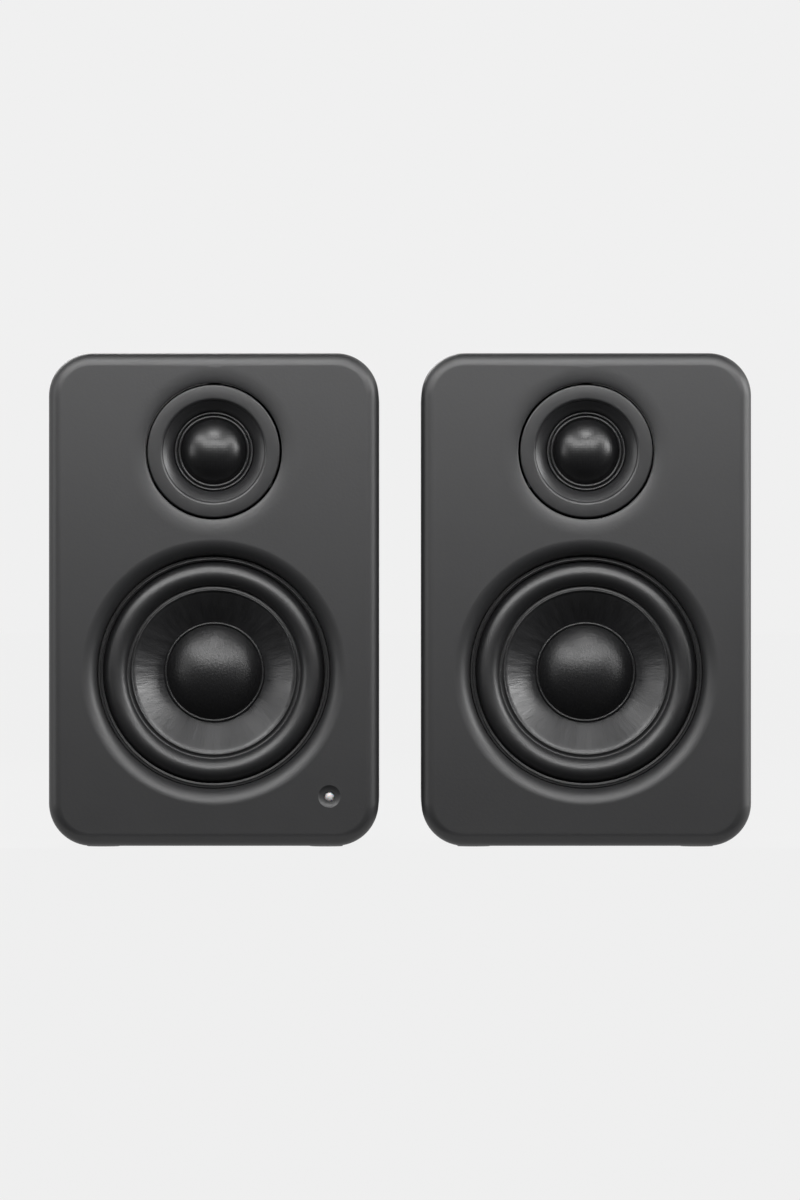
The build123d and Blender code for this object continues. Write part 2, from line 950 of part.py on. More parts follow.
def make_tweeter_suspension():
    """The narrow roll and the skirt that hold the dome."""
    inner = tweeter_former_outer
    middle = (inner + eye_radius) / 2
    t = dome_thickness
    return turned(
        profile(
            (inner, dome_base),
            ((middle, dome_base - dome_roll_height), (eye_radius - t, dome_base)),
            (eye_radius + dome_skirt_width, dome_base),
            (eye_radius + dome_skirt_width, dome_base + t),
            (eye_radius - 2 * t, dome_base + t),
            ((middle, dome_base - dome_roll_height + t), (inner + t, dome_base + t)),
            (inner, dome_base + t),
        )
    )


def make_dome():
    return turned(cap_face(dome_radius, dome_base, dome_height, dome_thickness))


def make_tweeter_coil():
    """The former behind the dome's edge, and its winding in the gap, as two solids."""
    end = dome_base + tweeter_coil_length
    former = rod(tweeter_former_outer, dome_base, end) - rod(dome_radius, dome_base, end)
    start = pole_front - tweeter_winding_overhang
    winding = rod(tweeter_winding_outer, start, end) - rod(tweeter_former_outer, start, end)
    return [former, winding]


def make_pole_plate():
    return rod(dome_radius - tweeter_coil_gap, pole_front, pole_back)


def make_tweeter_magnet():
    return rod(tweeter_magnet_radius, pole_back, tweeter_magnet_back)


def make_tweeter_cup():
    """The steel pot round the tweeter's magnet."""
    cup = rod(cup_radius, neck_back, cup_back)
    cup = fillet(cup.faces().sort_by(Axis.Y)[-1].edges(), cup_edge)
    return cup - rod(tweeter_winding_outer + tweeter_coil_gap, neck_back, tweeter_magnet_back)


# ---- rear panels, port and lining ----


def make_port():
    """The tube, its collar in the panel and its flared mouth."""
    face = panel_face + port_flange_thickness
    mouth = port_radius + port_flare
    inner_end = panel_face - port_length
    collar = panel_face - port_collar_length
    tube = port_radius + port_wall
    centre = (mouth, face - port_flare)
    inner_round = port_wall / 2
    return Pos(0, 0, port_height) * turned(
        profile(
            (port_radius, face - port_flare),
            (quarter(centre, (port_radius, face - port_flare), (mouth, face)), (mouth, face)),
            (port_flange_radius - port_flange_edge, face),
            (port_flange_radius, face - port_flange_edge),
            (port_flange_radius, panel_face),
            (port_collar_radius, panel_face),
            (port_collar_radius, collar),
            (tube, collar),
            (tube, inner_end + inner_round),
            ((tube - inner_round, inner_end), (port_radius, inner_end + inner_round)),
        )
    )


def make_panel():
    """The plain rear panel: the plate, the port's hole and the screw holes."""
    fit = 2 * (rebate_ledge - panel_clearance)
    outline = box_outline(
        inner_width + fit, inner_height + fit, inner_corner + rebate_ledge - panel_clearance
    )
    panel = plate(outline, panel_front, panel_thickness)
    panel = chamfer(panel.faces().sort_by(Axis.Y)[-1].edges(), panel_edge)
    panel -= rod(port_collar_radius + panel_clearance, panel_front, panel_face, 0, port_height)
    for x, z in panel_screw_spots():
        panel -= rod(m3_radius + screw_hole_gap, panel_front, panel_face, x, z)
    return panel


def terminal_hole(place):
    gap = 2 * block_body_clearance
    hole = block(block_body_width + gap, block_body_tall + gap, panel_front, panel_face, *place)
    for x, z in block_screw_spots(place):
        hole += rod(m2_radius + screw_clearance, panel_front, panel_face, x, z)
    return hole


def standoff_spots():
    """Two near the board's lower corners and two below the middle of its upper edge."""
    low = board_middle - board_tall / 2 + standoff_inset
    high = board_middle + board_tall / 2 - upper_standoff_inset
    wide = board_width / 2 - standoff_inset
    return [(sx * x, z) for x, z in ((wide, low), (upper_standoff_x, high)) for sx in (-1, 1)]


def crossover_spots():
    rise = crossover_hole_rise
    return [(sx * crossover_hole_x, crossover_height + sz * rise) for sx in (-1, 1) for sz in (-1, 1)]


def standoff(x, z, gap):
    return rod(standoff_radius, panel_front - gap, panel_front, x, z)


def make_powered_panel():
    """The amplifier's panel, with its pressed-in posts and a hole for each control and socket."""
    panel = make_panel() - terminal_hole(left_terminals_place)
    hole = panel_hole_clearance
    for place, radius in (
        (knob_place, bushing_radius),
        (aux_place, aux_barrel_radius),
        (sub_place, sub_shell_radius),
        (dc_place, dc_barrel_radius),
    ):
        panel -= rod(radius + hole, panel_front, panel_face, *place)
    panel -= block(usb_width + 2 * hole, usb_tall + 2 * hole, panel_front, panel_face, *usb_place)
    for x, z in standoff_spots():
        panel += standoff(x, z, board_gap)
    return panel


def make_passive_panel():
    """The passive speaker's panel, with posts for the crossover board."""
    panel = make_panel() - terminal_hole(right_terminals_place)
    for x, z in crossover_spots():
        panel += standoff(x, z, board_gap / 2)
    return panel


def make_wadding():
    """A strip of wadding against each side wall."""
    x = inner_width / 2 - wadding_inset - wadding_thickness / 2
    tall = inner_height - 2 * inner_corner - 2 * wadding_inset
    back = panel_front - post_length - wadding_back_gap
    return [block(wadding_thickness, tall, wadding_front, back, sx * x, box_middle) for sx in (-1, 1)]


# ---- terminals ----


def block_screw_spots(place):
    x, z = place
    return [(x + sx * block_screw_pitch / 2, z) for sx in (-1, 1)]


def way_spots(place):
    """The two ways of a terminal block, the red one first."""
    x, z = place
    return [(x - way_pitch / 2, z), (x + way_pitch / 2, z)]


def make_terminal_block(place):
    """The moulding that holds two levers, each in its own bay above a slot for the bare wire."""
    x, z = place
    flange = plate(
        Pos(x, z) * RectangleRounded(block_width, block_tall, block_corner), panel_face, block_flange
    )
    flange = fillet(flange.faces().sort_by(Axis.Y)[-1].edges(), block_edge)
    body = block(block_body_width, block_body_tall, panel_face - block_body_depth, panel_face, x, z)
    moulding = flange + body
    bay_tall = bay_top - bay_bottom
    outer = panel_face + block_flange
    for wx, wz in way_spots(place):
        bay_middle = wz + (bay_top + bay_bottom) / 2
        moulding -= block(bay_width, bay_tall, panel_face - bay_depth, outer, wx, bay_middle)
        pin = rod_across(pivot_radius + pivot_clearance, bay_width + 2 * (pivot_length + pivot_end_gap))
        moulding -= Pos(wx, panel_face + pivot_out, wz + pivot_up) * pin
        slot = RectangleRounded(wire_slot_width, wire_slot_tall, wire_slot_corner)
        slot = Pos(wx, wz - wire_slot_drop) * slot
        moulding -= plate(slot, panel_face - bay_depth, bay_depth + block_flange)
        gap = 2 * contact_slit_gap
        slit = Pos(wx, wz + contact_height) * Rectangle(contact_width + gap, contact_thickness + gap)
        moulding -= plate(slit, panel_face - block_body_depth, block_wall_depth)
    for sx, sz in block_screw_spots(place):
        moulding -= rod(m2_radius + block_screw_gap, panel_face, outer, sx, sz)
    return moulding


def rod_across(radius, length):
    return Rot(0, 90, 0) * Cylinder(radius, length)


def make_lever(place, way):
    """A finger tab with a trunnion on each side, near its lower end."""
    wx, wz = way_spots(place)[way]
    width = bay_width - 2 * lever_side_clearance
    tall = lever_top - lever_bottom
    tab = Box(width, lever_front - lever_back, tall)
    rims = tab.edges().filter_by(Axis.X).sort_by(Axis.Y)[-2:]
    tab = fillet(rims, lever_edge)
    tab = Pos(wx, panel_face + (lever_front + lever_back) / 2, wz + (lever_top + lever_bottom) / 2) * tab
    groove = rod_across(grip_radius, width - 2 * grip_margin)
    for k in range(grip_count):
        groove_z = wz + lever_top - grip_first - grip_pitch * k
        tab -= Pos(wx, panel_face + lever_front, groove_z) * groove
    pin = rod_across(pivot_radius, bay_width + 2 * pivot_length)
    return tab + Pos(wx, panel_face + pivot_out, wz + pivot_up) * pin


def make_contacts(place):
    """The two spring strips behind the levers, each with its solder tab out of the back."""
    strips = []
    t = contact_thickness
    rear = panel_face - block_body_depth - contact_tab
    knee = panel_face - bay_depth + contact_knee
    for wx, wz in way_spots(place):
        low = wz + contact_height
        tall = lever_top - contact_short - contact_height
        front = panel_face + lever_back - contact_gap
        bent = make_face(
            Polyline(
                (rear, low - t / 2),
                (knee, low - t / 2),
                (front, low - t / 2 + tall),
                (front, low + t / 2 + tall),
                (front - t, low + t / 2 + tall),
                (knee - t, low + t / 2),
                (rear, low + t / 2),
                close=True,
            )
        )
        strips.append(extrude(Plane.YZ.offset(wx - contact_width / 2) * bent, amount=contact_width))
    return strips


# ---- volume control ----


def make_knob():
    x, z = knob_place
    base = panel_face + knob_base_gap
    end = cabinet_depth + knob_proud
    knob = rod(knob_radius, base, end, x, z)
    knob = fillet(knob.faces().sort_by(Axis.Y)[-1].edges(), knob_edge)
    flute = Circle(knob_flute_radius)
    ring = Sketch() + [loc * flute for loc in PolarLocations(knob_radius, knob_flutes)]
    knob -= plate(Pos(x, z) * ring, base, end - base - 2 * knob_edge)
    knob -= rod(knob_radius - knob_skirt_wall, base, base + knob_skirt_depth, x, z)
    knob -= rod(shaft_radius + knob_bore_gap, base, end - knob_cap, x, z)
    pointer = RectangleRounded(pointer_width, pointer_length, pointer_corner)
    pointer = Pos(0, pointer_length / 2 + pointer_inset - knob_radius) * pointer
    pointer = Pos(x, z) * Rot(0, 0, pointer_rest_turn) * pointer
    return knob - plate(pointer, end - pointer_depth, pointer_depth)


def make_shaft():
    x, z = knob_place
    end = cabinet_depth + knob_proud - knob_cap - shaft_end_gap
    return rod(shaft_radius, board_back + shaft_setback, end, x, z)


def make_pot():
    """The control's case, threaded bushing and nut."""
    x, z = knob_place
    case_end = board_back + pot_length
    case = block(pot_size, pot_size, board_back, case_end, x, z)
    case = fillet(case.edges().filter_by(Axis.Y), pot_corner)
    bushing = rod(bushing_radius, case_end, panel_face + bushing_length, x, z)
    nut = plate(
        Pos(x, z) * RegularPolygon(nut_across / 2, 6, major_radius=False), panel_face, nut_thickness
    )
    floor = board_back + shaft_setback - shaft_end_gap
    bore = rod(shaft_radius + shaft_clearance, floor, panel_face + bushing_length, x, z)
    return case + bushing + nut - bore


# ---- sockets ----


def make_aux_socket():
    x, z = aux_place
    body = block(aux_body, aux_body, board_back, panel_front - body_gap, x, z)
    barrel = rod(aux_barrel_radius, panel_front - body_gap, panel_face + aux_proud, x, z)
    nut = plate(
        Pos(x, z) * RegularPolygon(aux_nut_across / 2, 6, major_radius=False), panel_face, aux_nut_thickness
    )
    mouth = panel_face + aux_proud
    return body + barrel + nut - rod(aux_bore, mouth - aux_depth, mouth, x, z)


def make_sub_socket():
    """A phono socket: a shell, and a core with the centre contact's bore."""
    x, z = sub_place
    mouth = panel_face + sub_proud
    body = block(sub_body, sub_body, board_back, panel_front - body_gap, x, z)
    shell = rod(sub_shell_radius, panel_front - body_gap, mouth, x, z)
    collar = rod(sub_collar_radius, panel_face, panel_face + sub_collar_thickness, x, z)
    hollow = rod(sub_shell_radius - sub_shell_wall, mouth - sub_bore_depth, mouth, x, z)
    core = rod(sub_core_radius, mouth - sub_bore_depth, mouth - sub_core_setback, x, z)
    bore = rod(sub_bore, mouth - sub_bore_depth, mouth, x, z)
    return body + shell + collar - hollow + core - bore


def make_dc_socket():
    x, z = dc_place
    mouth = panel_face + dc_proud
    body = block(dc_body, dc_body, board_back, panel_front - body_gap, x, z)
    barrel = rod(dc_barrel_radius, panel_front - body_gap, mouth, x, z)
    socket = body + barrel - rod(dc_bore, mouth - dc_depth, mouth, x, z)
    return socket + rod(dc_pin_radius, mouth - dc_depth, mouth - dc_pin_setback, x, z)


def make_usb_socket():
    """A square-bodied data socket with a tongue in its mouth."""
    x, z = usb_place
    mouth = panel_face + usb_proud
    shell = block(usb_width, usb_tall, board_back, mouth, x, z)
    half, tall, cut = usb_mouth_width / 2, usb_mouth_tall, usb_mouth_chamfer
    opening = make_face(
        Polyline(
            (-half, 0),
            (half, 0),
            (half, tall - cut),
            (half - cut, tall),
            (cut - half, tall),
            (-half, tall - cut),
            close=True,
        )
    )
    opening = Pos(x, z - tall / 2) * opening
    shell -= plate(opening, mouth - usb_depth, usb_depth)
    return shell + block(
        usb_tongue_width, usb_tongue_tall, mouth - usb_depth, mouth - usb_tongue_setback, x, z
    )


# ---- boards and their parts ----


def on_board(places):
    """Places on the amplifier board, as x and height."""
    return [(x, board_middle + z) for x, z in places]


def make_board():
    board = block(board_width, board_tall, board_front, board_back, 0, board_middle)
    return fillet(board.edges().filter_by(Axis.Y), board_corner)


def make_capacitors():
    """Four electrolytic cans in front of the board."""
    cans = [rod(can_radius, board_front - can_length, board_front, x, z) for x, z in on_board(can_places)]
    return [fillet(can.faces().sort_by(Axis.Y)[0].edges(), can_edge) for can in cans]


def make_chokes():
    """Four shielded output chokes in front of the board."""
    front = board_front - choke_height
    chokes = [block(choke_size, choke_size, front, board_front, x, z) for x, z in on_board(choke_places)]
    return [fillet(choke.edges().filter_by(Axis.Y), choke_corner) for choke in chokes]


def make_heat_sink():
    """A finned block over the amplifier chip."""
    x, z = sink_place[0], board_middle + sink_place[1]
    back = board_front - chip_height
    front = back - sink_base
    sink = block(sink_width, sink_tall, front, back, x, z)
    sink += block(chip_size, chip_size, back, board_front, x, z)
    first = x - (sink_width - fin_thickness) / 2
    pitch = (sink_width - fin_thickness) / (fin_count - 1)
    for k in range(fin_count):
        sink += block(fin_thickness, sink_tall, front - fin_length, front, first + k * pitch, z)
    return sink


def make_crossover_board():
    back = crossover_front + board_thickness
    board = block(crossover_width, crossover_tall, crossover_front, back, 0, crossover_height)
    return fillet(board.edges().filter_by(Axis.Y), board_corner)


def make_crossover_parts():
    """The passive speaker's filter: a film capacitor, a resistor and an air-cored coil."""
    x, z = film_place
    film = Pos(x, crossover_front - film_radius, crossover_height + z) * Cylinder(film_radius, film_length)
    x, z = resistor_place
    front = crossover_front - resistor_side
    resistor = block(resistor_length, resistor_side, front, crossover_front, x, crossover_height + z)
    x, z = air_coil_place[0], crossover_height + air_coil_place[1]
    front = crossover_front - air_coil_length
    coil = rod(air_coil_radius, front, crossover_front, x, z)
    coil -= rod(air_coil_bore, front, crossover_front, x, z)
    return [film, resistor, coil]


def make_light_pipe():
    """The clear rod of the indicator light, with a domed nose and a collar behind the baffle."""
    nose = light_dish_depth + light_setback
    pipe = rod(light_radius, nose, baffle_back, light_x, light_height)
    pipe = fillet(pipe.faces().sort_by(Axis.Y)[0].edges(), light_radius * light_nose_share)
    return pipe + rod(light_collar_radius, baffle_thickness, baffle_back, light_x, light_height)


def make_light_board():
    """The indicator's board on its two posts, with the lamp that faces into the light pipe."""
    front = baffle_back + light_board_gap
    back = front + light_board_thickness
    board = block(light_board_size, light_board_size, front, back, light_x, light_height)
    board += block(lamp_width, lamp_tall, baffle_back + lamp_setback, front, light_x, light_height)
    for step in (-light_post_offset, light_post_offset):
        board += rod(light_post_radius, baffle_back, front, light_x + step, light_height + step)
    return board


def route(start, leave, slack, end):
    """A lead's points: square out of its start, along the slack ones, and square on to its end."""
    after = (start[0], start[1] + leave, start[2])
    before = (end[0], end[1] - lead_exit, end[2])
    return [start, after, *slack, before, end]


def make_leads(terminals_place, slacks, face, middle, ends):
    """Three twin leads, from the woofer, the tweeter and the terminals to the face of the board."""
    tag_height = woofer_height + (flange_bore + flange_radius) / 2
    starts = (
        (0, seat_depth + flange_thickness + tag_length, tag_height),
        (tweeter_lead_x, cup_back, tweeter_height - cup_radius + tweeter_lead_inset),
        (
            terminals_place[0] - way_pitch / 2,
            panel_face - block_body_depth - contact_tab,
            terminals_place[1] + contact_height,
        ),
    )
    leaves = (lead_exit, lead_exit, -terminal_lead_exit)
    leads = []
    for start, leave, slack, (x, z) in zip(starts, leaves, slacks, ends):
        hang = [(sx, face - ahead, box_middle + rise) for sx, ahead, rise in slack]
        leads.append(lead(route(start, leave, hang, (x, face, middle + z))))
    return leads


def powered_leads():
    return make_leads(left_terminals_place, powered_slack, board_front, board_middle, powered_lead_ends)


def passive_leads():
    return make_leads(
        right_terminals_place, passive_slack, crossover_front, crossover_height, passive_lead_ends
    )


# ---- fasteners ----


def driver_screws():
    """The four behind each woofer's ears and the three behind each tweeter's plate."""
    seat = seat_depth + flange_thickness
    found = [
        at_woofer(screw(m3_radius, m3_head_radius, m3_head_height, seat, woofer_screw_tip, x, z))
        for x, z in ear_spots()
    ]
    tip = plate_seat - tweeter_screw_bite + screw_end_gap
    found += [
        at_tweeter(screw(m2_radius, m2_head_radius, m2_head_height, baffle_back, tip, x, z))
        for x, z in tweeter_screw_spots()
    ]
    return found


def panel_screws(terminals_place):
    """The six of the rear panel and the two of its terminal block."""
    tip = panel_front - post_length + panel_screw_end_gap
    found = [
        screw(m3_radius, m3_head_radius, m3_head_height, panel_face, tip, x, z)
        for x, z in panel_screw_spots()
    ]
    seat = panel_face + block_flange
    tip = panel_front - block_screw_overrun
    found += [
        screw(m2_radius, m2_head_radius, m2_head_height, seat, tip, x, z)
        for x, z in block_screw_spots(terminals_place)
    ]
    return found


# ---- the pair ----


def placed(side, pieces):
    """The pieces of one speaker, moved to its place: side is -1 for the left one and 1 for the right."""
    spot = Pos(side * half_pitch, front_y, 0)
    return [spot * piece for piece in (pieces if isinstance(pieces, list) else [pieces])]


def both(pieces):
    return placed(-1, pieces) + placed(1, pieces)


def build():
    nodes = {}
    for side, name in ((-1, "left"), (1, "right")):
        powered = side < 0
        terminals = left_terminals_place if powered else right_terminals_place
        own = {
            "cabinet": make_cabinet(),
            "front_baffle": make_baffle(with_light=powered),
            "rear_panel": make_powered_panel() if powered else make_passive_panel(),
            "woofer_frame": at_woofer(make_woofer_frame()),
            "woofer_surround": at_woofer(make_surround()),
            "woofer_cone": at_woofer(make_cone()),
            "woofer_dust_cap": at_woofer(make_dust_cap()),
            "woofer_voice_coil": [at_woofer(piece) for piece in make_voice_coil()],
            "woofer_spider": at_woofer(make_spider()),
            "tweeter_plate": at_tweeter(make_tweeter_plate()),
            "tweeter_suspension": at_tweeter(make_tweeter_suspension()),
            "tweeter_dome": at_tweeter(make_dome()),
            "tweeter_voice_coil": [at_tweeter(piece) for piece in make_tweeter_coil()],
            "terminal_block": make_terminal_block(terminals),
            "red_lever": make_lever(terminals, 0),
            "black_lever": make_lever(terminals, 1),
            "terminal_contacts": make_contacts(terminals),
        }
        nodes.update({f"{name}_{key}": placed(side, pieces) for key, pieces in own.items()})
    nodes.update(
        {
            "woofer_gaskets": both(at_woofer(make_gasket())),
            "woofer_top_plates": both(at_woofer(make_top_plate())),
            "woofer_magnets": both(at_woofer(make_magnet())),
            "woofer_yokes": both(at_woofer(make_yoke())),
            "tweeter_pole_plates": both(at_tweeter(make_pole_plate())),
            "tweeter_magnets": both(at_tweeter(make_tweeter_magnet())),
            "tweeter_cups": both(at_tweeter(make_tweeter_cup())),
            "bass_ports": both(make_port()),
            "rubber_feet": both(make_feet()),
            "wadding": both(make_wadding()),
            "driver_screws": both(driver_screws()),
            "panel_screws": placed(-1, panel_screws(left_terminals_place))
            + placed(1, panel_screws(right_terminals_place)),
            "volume_knob": placed(-1, make_knob()),
            "volume_shaft": placed(-1, make_shaft()),
            "volume_control": placed(-1, make_pot()),
            "circuit_boards": placed(-1, [make_board(), make_light_board()])
            + placed(1, make_crossover_board()),
            "amplifier_capacitors": placed(-1, make_capacitors()),
            "amplifier_chokes": placed(-1, make_chokes()),
            "heat_sink": placed(-1, make_heat_sink()),
            "aux_socket": placed(-1, make_aux_socket()),
            "subwoofer_socket": placed(-1, make_sub_socket()),
            "power_socket": placed(-1, make_dc_socket()),
            "usb_socket": placed(-1, make_usb_socket()),
            "light_pipe": placed(-1, make_light_pipe()),
            "crossover_parts": placed(1, make_crossover_parts()),
            "internal_leads": placed(-1, powered_leads()) + placed(1, passive_leads()),
        }
    )
    return nodes


os.makedirs("parts", exist_ok=True)
for node, solids in build().items():
    export_step(Compound(solids) if len(solids) > 1 else solids[0], f"parts/{node}.step")
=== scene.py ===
"""A pair of desktop speakers, dressed for a studio picture round its packed construction model.

Lengths in the tables are millimetres. A depth is measured back from the face of the baffles, and a place
across and up is read from the construction model, so each piece sits where the model says.
"""

import math

import bmesh
import bpy
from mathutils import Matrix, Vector
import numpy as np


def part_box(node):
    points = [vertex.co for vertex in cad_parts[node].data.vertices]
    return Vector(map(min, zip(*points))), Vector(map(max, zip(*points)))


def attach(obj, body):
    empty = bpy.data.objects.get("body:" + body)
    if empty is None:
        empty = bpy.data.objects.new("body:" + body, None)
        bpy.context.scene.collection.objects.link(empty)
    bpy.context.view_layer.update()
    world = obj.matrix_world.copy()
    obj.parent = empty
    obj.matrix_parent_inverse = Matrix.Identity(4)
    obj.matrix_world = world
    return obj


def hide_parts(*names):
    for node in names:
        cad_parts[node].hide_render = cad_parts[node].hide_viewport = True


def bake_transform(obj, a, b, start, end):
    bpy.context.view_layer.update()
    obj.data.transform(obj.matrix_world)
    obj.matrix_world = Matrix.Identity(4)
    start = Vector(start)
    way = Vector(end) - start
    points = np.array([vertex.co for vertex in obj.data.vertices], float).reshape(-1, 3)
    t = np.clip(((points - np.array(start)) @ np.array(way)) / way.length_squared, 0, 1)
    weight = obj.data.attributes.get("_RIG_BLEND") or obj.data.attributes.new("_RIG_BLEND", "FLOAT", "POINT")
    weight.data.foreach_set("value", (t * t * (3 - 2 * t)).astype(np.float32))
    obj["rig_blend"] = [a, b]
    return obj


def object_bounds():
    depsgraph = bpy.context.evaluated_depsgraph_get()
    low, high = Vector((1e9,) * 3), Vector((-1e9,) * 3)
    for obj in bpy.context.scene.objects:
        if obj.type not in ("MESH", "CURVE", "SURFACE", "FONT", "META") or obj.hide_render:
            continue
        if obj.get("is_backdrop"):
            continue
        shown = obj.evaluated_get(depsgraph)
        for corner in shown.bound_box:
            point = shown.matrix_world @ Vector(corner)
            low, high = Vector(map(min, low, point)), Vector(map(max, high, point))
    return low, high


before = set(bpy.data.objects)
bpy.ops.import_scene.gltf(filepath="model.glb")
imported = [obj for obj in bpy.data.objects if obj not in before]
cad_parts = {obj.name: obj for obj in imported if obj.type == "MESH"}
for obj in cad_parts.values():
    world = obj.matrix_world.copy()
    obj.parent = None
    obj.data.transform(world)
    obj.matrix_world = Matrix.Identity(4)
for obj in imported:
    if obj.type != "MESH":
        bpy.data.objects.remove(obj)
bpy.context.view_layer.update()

bl_info = {
    "name": "Desktop speakers",
    "version": (1, 0, 0),
    "blender": (4, 5, 0),
    "location": "View3D > Sidebar > Speakers",
    "description": "Models and finishes a pair of desktop speakers, and sets them in a plain studio",
    "category": "Add Mesh",
}

MM = 0.001
SIDES = ("left", "right")
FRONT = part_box("left_front_baffle")[0].y
ROOT = "cabinets"
UNDOABLE = {"REGISTER", "UNDO"}
OVERCUT = 1.0  # millimetres by which a cutting solid runs past the piece that it cuts
RUBBER = 0.5  # millimetres from the back of a surround to the face of its flat edge
MOUNTING_GAP = 0.2  # millimetres between a ring and the hole that it sits in
AROUND = 192  # points round the rings of the woofers and tweeters


# ---- reading the construction model ----


def middle(node):
    """The place across and up of a node's middle, in metres."""
    low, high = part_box(node)
    return (low.x + high.x) / 2, (low.z + high.z) / 2


def depth_of(node, end=0):
    """How far a node's front (0) or back (1) lies behind the baffles' faces, in millimetres."""
    return (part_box(node)[end].y - FRONT) / MM


def linear(code):
    """An sRGB hex colour as linear red, green, blue and alpha."""
    parts = [int(code[i : i + 2], 16) / 255 for i in (1, 3, 5)]
    return tuple(c / 12.92 if c <= 0.04045 else ((c + 0.055) / 1.055) ** 2.4 for c in parts) + (1.0,)


# ---- sizes and colours that a user would change ----


def size(name, words, millimetres):
    """A length that a user may change."""
    default = millimetres * MM
    return bpy.props.FloatProperty(name=name, description=words, default=default, unit="LENGTH", min=0.0)


def colour(name, words, code):
    """A colour that a user may change."""
    return bpy.props.FloatVectorProperty(
        name=name, description=words, default=linear(code), size=4, subtype="COLOR", min=0.0, max=1.0
    )


class SpeakerSizes(bpy.types.PropertyGroup):
    """Lengths that shape the pieces"""

    corner: size("Corner radius", "Radius of the box's four long corners", 13.0)
    front_round: size("Front edge", "Radius of the baffle's front edge", 4.0)
    rear_round: size("Rear edge", "Radius of the sleeve's rear edge", 2.0)
    seam: size("Seam bevel", "Bevel on both sides of the seam behind the baffle", 0.35)
    panel: size("Panel", "Thickness of the rear panel", 3.0)
    panel_gap: size("Panel gap", "Gap round the rear panel", 0.2)
    wall: size("Wall", "Thickness of the sleeve", 7.5)
    opening: size("Woofer opening", "Radius of the woofer's opening behind its lip", 35.4)
    lip: size("Lip", "Radius of the opening's rounded lip", 5.0)
    gasket: size("Gasket", "Inner radius of the clamping ring", 33.7)
    plate: size("Tweeter plate", "Radius of the ring round the tweeter", 20.1)
    plate_gap: size("Plate gap", "Gap round the tweeter's ring", 0.6)
    plate_dish: size("Plate dish width", "Width of the shallow dish round the tweeter's ring", 5.2)
    roll_inner: size("Roll inside", "Inner radius of the surround's roll", 26.3)
    roll_outer: size("Roll outside", "Outer radius of the surround's roll", 33.4)
    roll_height: size("Roll height", "How far the surround's roll stands forward", 3.3)
    cone_rim: size("Cone rim", "Radius where the cone's slope starts", 24.4)
    cone_neck: size("Cone neck", "Radius where the cone's slope ends", 10.25)
    spider_edge: size("Spider edge", "Radius at which the spider lands on its frame", 22.0)
    cone_drop: size("Cone drop", "Depth of the cone's slope", 10.9)
    cap: size("Dust cap", "Radius of the dust cap", 14.3)
    cap_height: size("Dust cap height", "How far the dust cap is domed", 6.6)
    dome: size("Dome", "Radius of the tweeter's dome", 9.9)
    dome_height: size("Dome height", "How far the tweeter's dome is domed", 5.3)
    bowl: size("Bowl", "Outer radius of the bowl round the dome", 15.4)
    bowl_depth: size("Bowl depth", "Depth of the bowl round the dome", 4.4)
    eye: size("Eye", "Radius of the hole in the bowl, round the dome's roll", 11.3)
    collar: size("Collar", "Outer radius of the ring's part behind the baffle", 16.3)
    light: size("Light", "Radius of the indicator light", 1.5)
    light_dish: size("Light dish", "Radius of the shallow dish round the light", 3.4)
    light_deep: size("Light dish depth", "Depth of the dish round the light", 0.55)
    port: size("Port", "Inner radius of the bass port", 11.5)
    flare: size("Flare", "Radius of the port's flared mouth", 5.0)
    port_rim: size("Port rim", "Outer radius of the port's rim", 19.0)


class SpeakerColours(bpy.types.PropertyGroup):
    """Colours of the finishes that show"""

    lacquer: colour("Lacquer", "Satin lacquer of the boxes", "#19191a")
    ring: colour("Tweeter ring", "Moulded ring round the tweeter", "#171718")
    rubber: colour("Rubber", "Rubber of the surrounds and feet", "#121213")
    cone: colour("Cone", "Woofer cone", "#1a1a1b")
    cap: colour("Dust cap", "Woofer dust cap", "#0e0e0f")
    silk: colour("Dome", "Coated silk of the dome", "#0b0b0c")
    light: colour("Indicator", "Milky acrylic of the indicator light", "#b2b2b4")
    panel: colour("Rear panel", "Powder coat of the rear panels", "#1b1b1c")
    moulding: colour("Mouldings", "Black plastic of the port, knob and sockets", "#161617")
    red: colour("Red lever", "Red plastic of the positive lever", "#a01a1a")
    backdrop: colour("Backdrop", "Pale background", "#f0f0f0")


def settings(context):
    """The scene's sizes and colours."""
    return context.scene.speaker_sizes, context.scene.speaker_colours


# ---- operators' helpers ----


def edit_mode():
    bpy.ops.object.mode_set(mode="EDIT")


def object_mode():
    bpy.ops.object.mode_set(mode="OBJECT")


def fresh():
    """Leaves edit mode with nothing selected."""
    if bpy.context.object and bpy.context.object.mode != "OBJECT":
        object_mode()
    bpy.ops.object.select_all(action="DESELECT")


def only(piece):
    """Leaves one piece selected and active."""
    fresh()
    piece.select_set(True)
    bpy.context.view_layer.objects.active = piece


def pick(piece, kind, wanted):
    """In edit mode, selects only the vertices, edges or faces for which wanted is true."""
    bpy.ops.mesh.select_mode(type={"verts": "VERT", "edges": "EDGE", "faces": "FACE"}[kind])
    bpy.ops.mesh.select_all(action="DESELECT")
    mesh = bmesh.from_edit_mesh(piece.data)
    for item in getattr(mesh, kind):
        if wanted(item):
            item.select_set(True)
    mesh.select_flush_mode()
    bmesh.update_edit_mesh(piece.data)


def apply(piece, kind, **settings):
    """Adds a modifier with its settings and applies it."""
    only(piece)
    modifier = piece.modifiers.new(kind.lower(), kind)
    for key, value in settings.items():
        setattr(modifier, key, value)
    bpy.ops.object.modifier_apply(modifier=modifier.name)


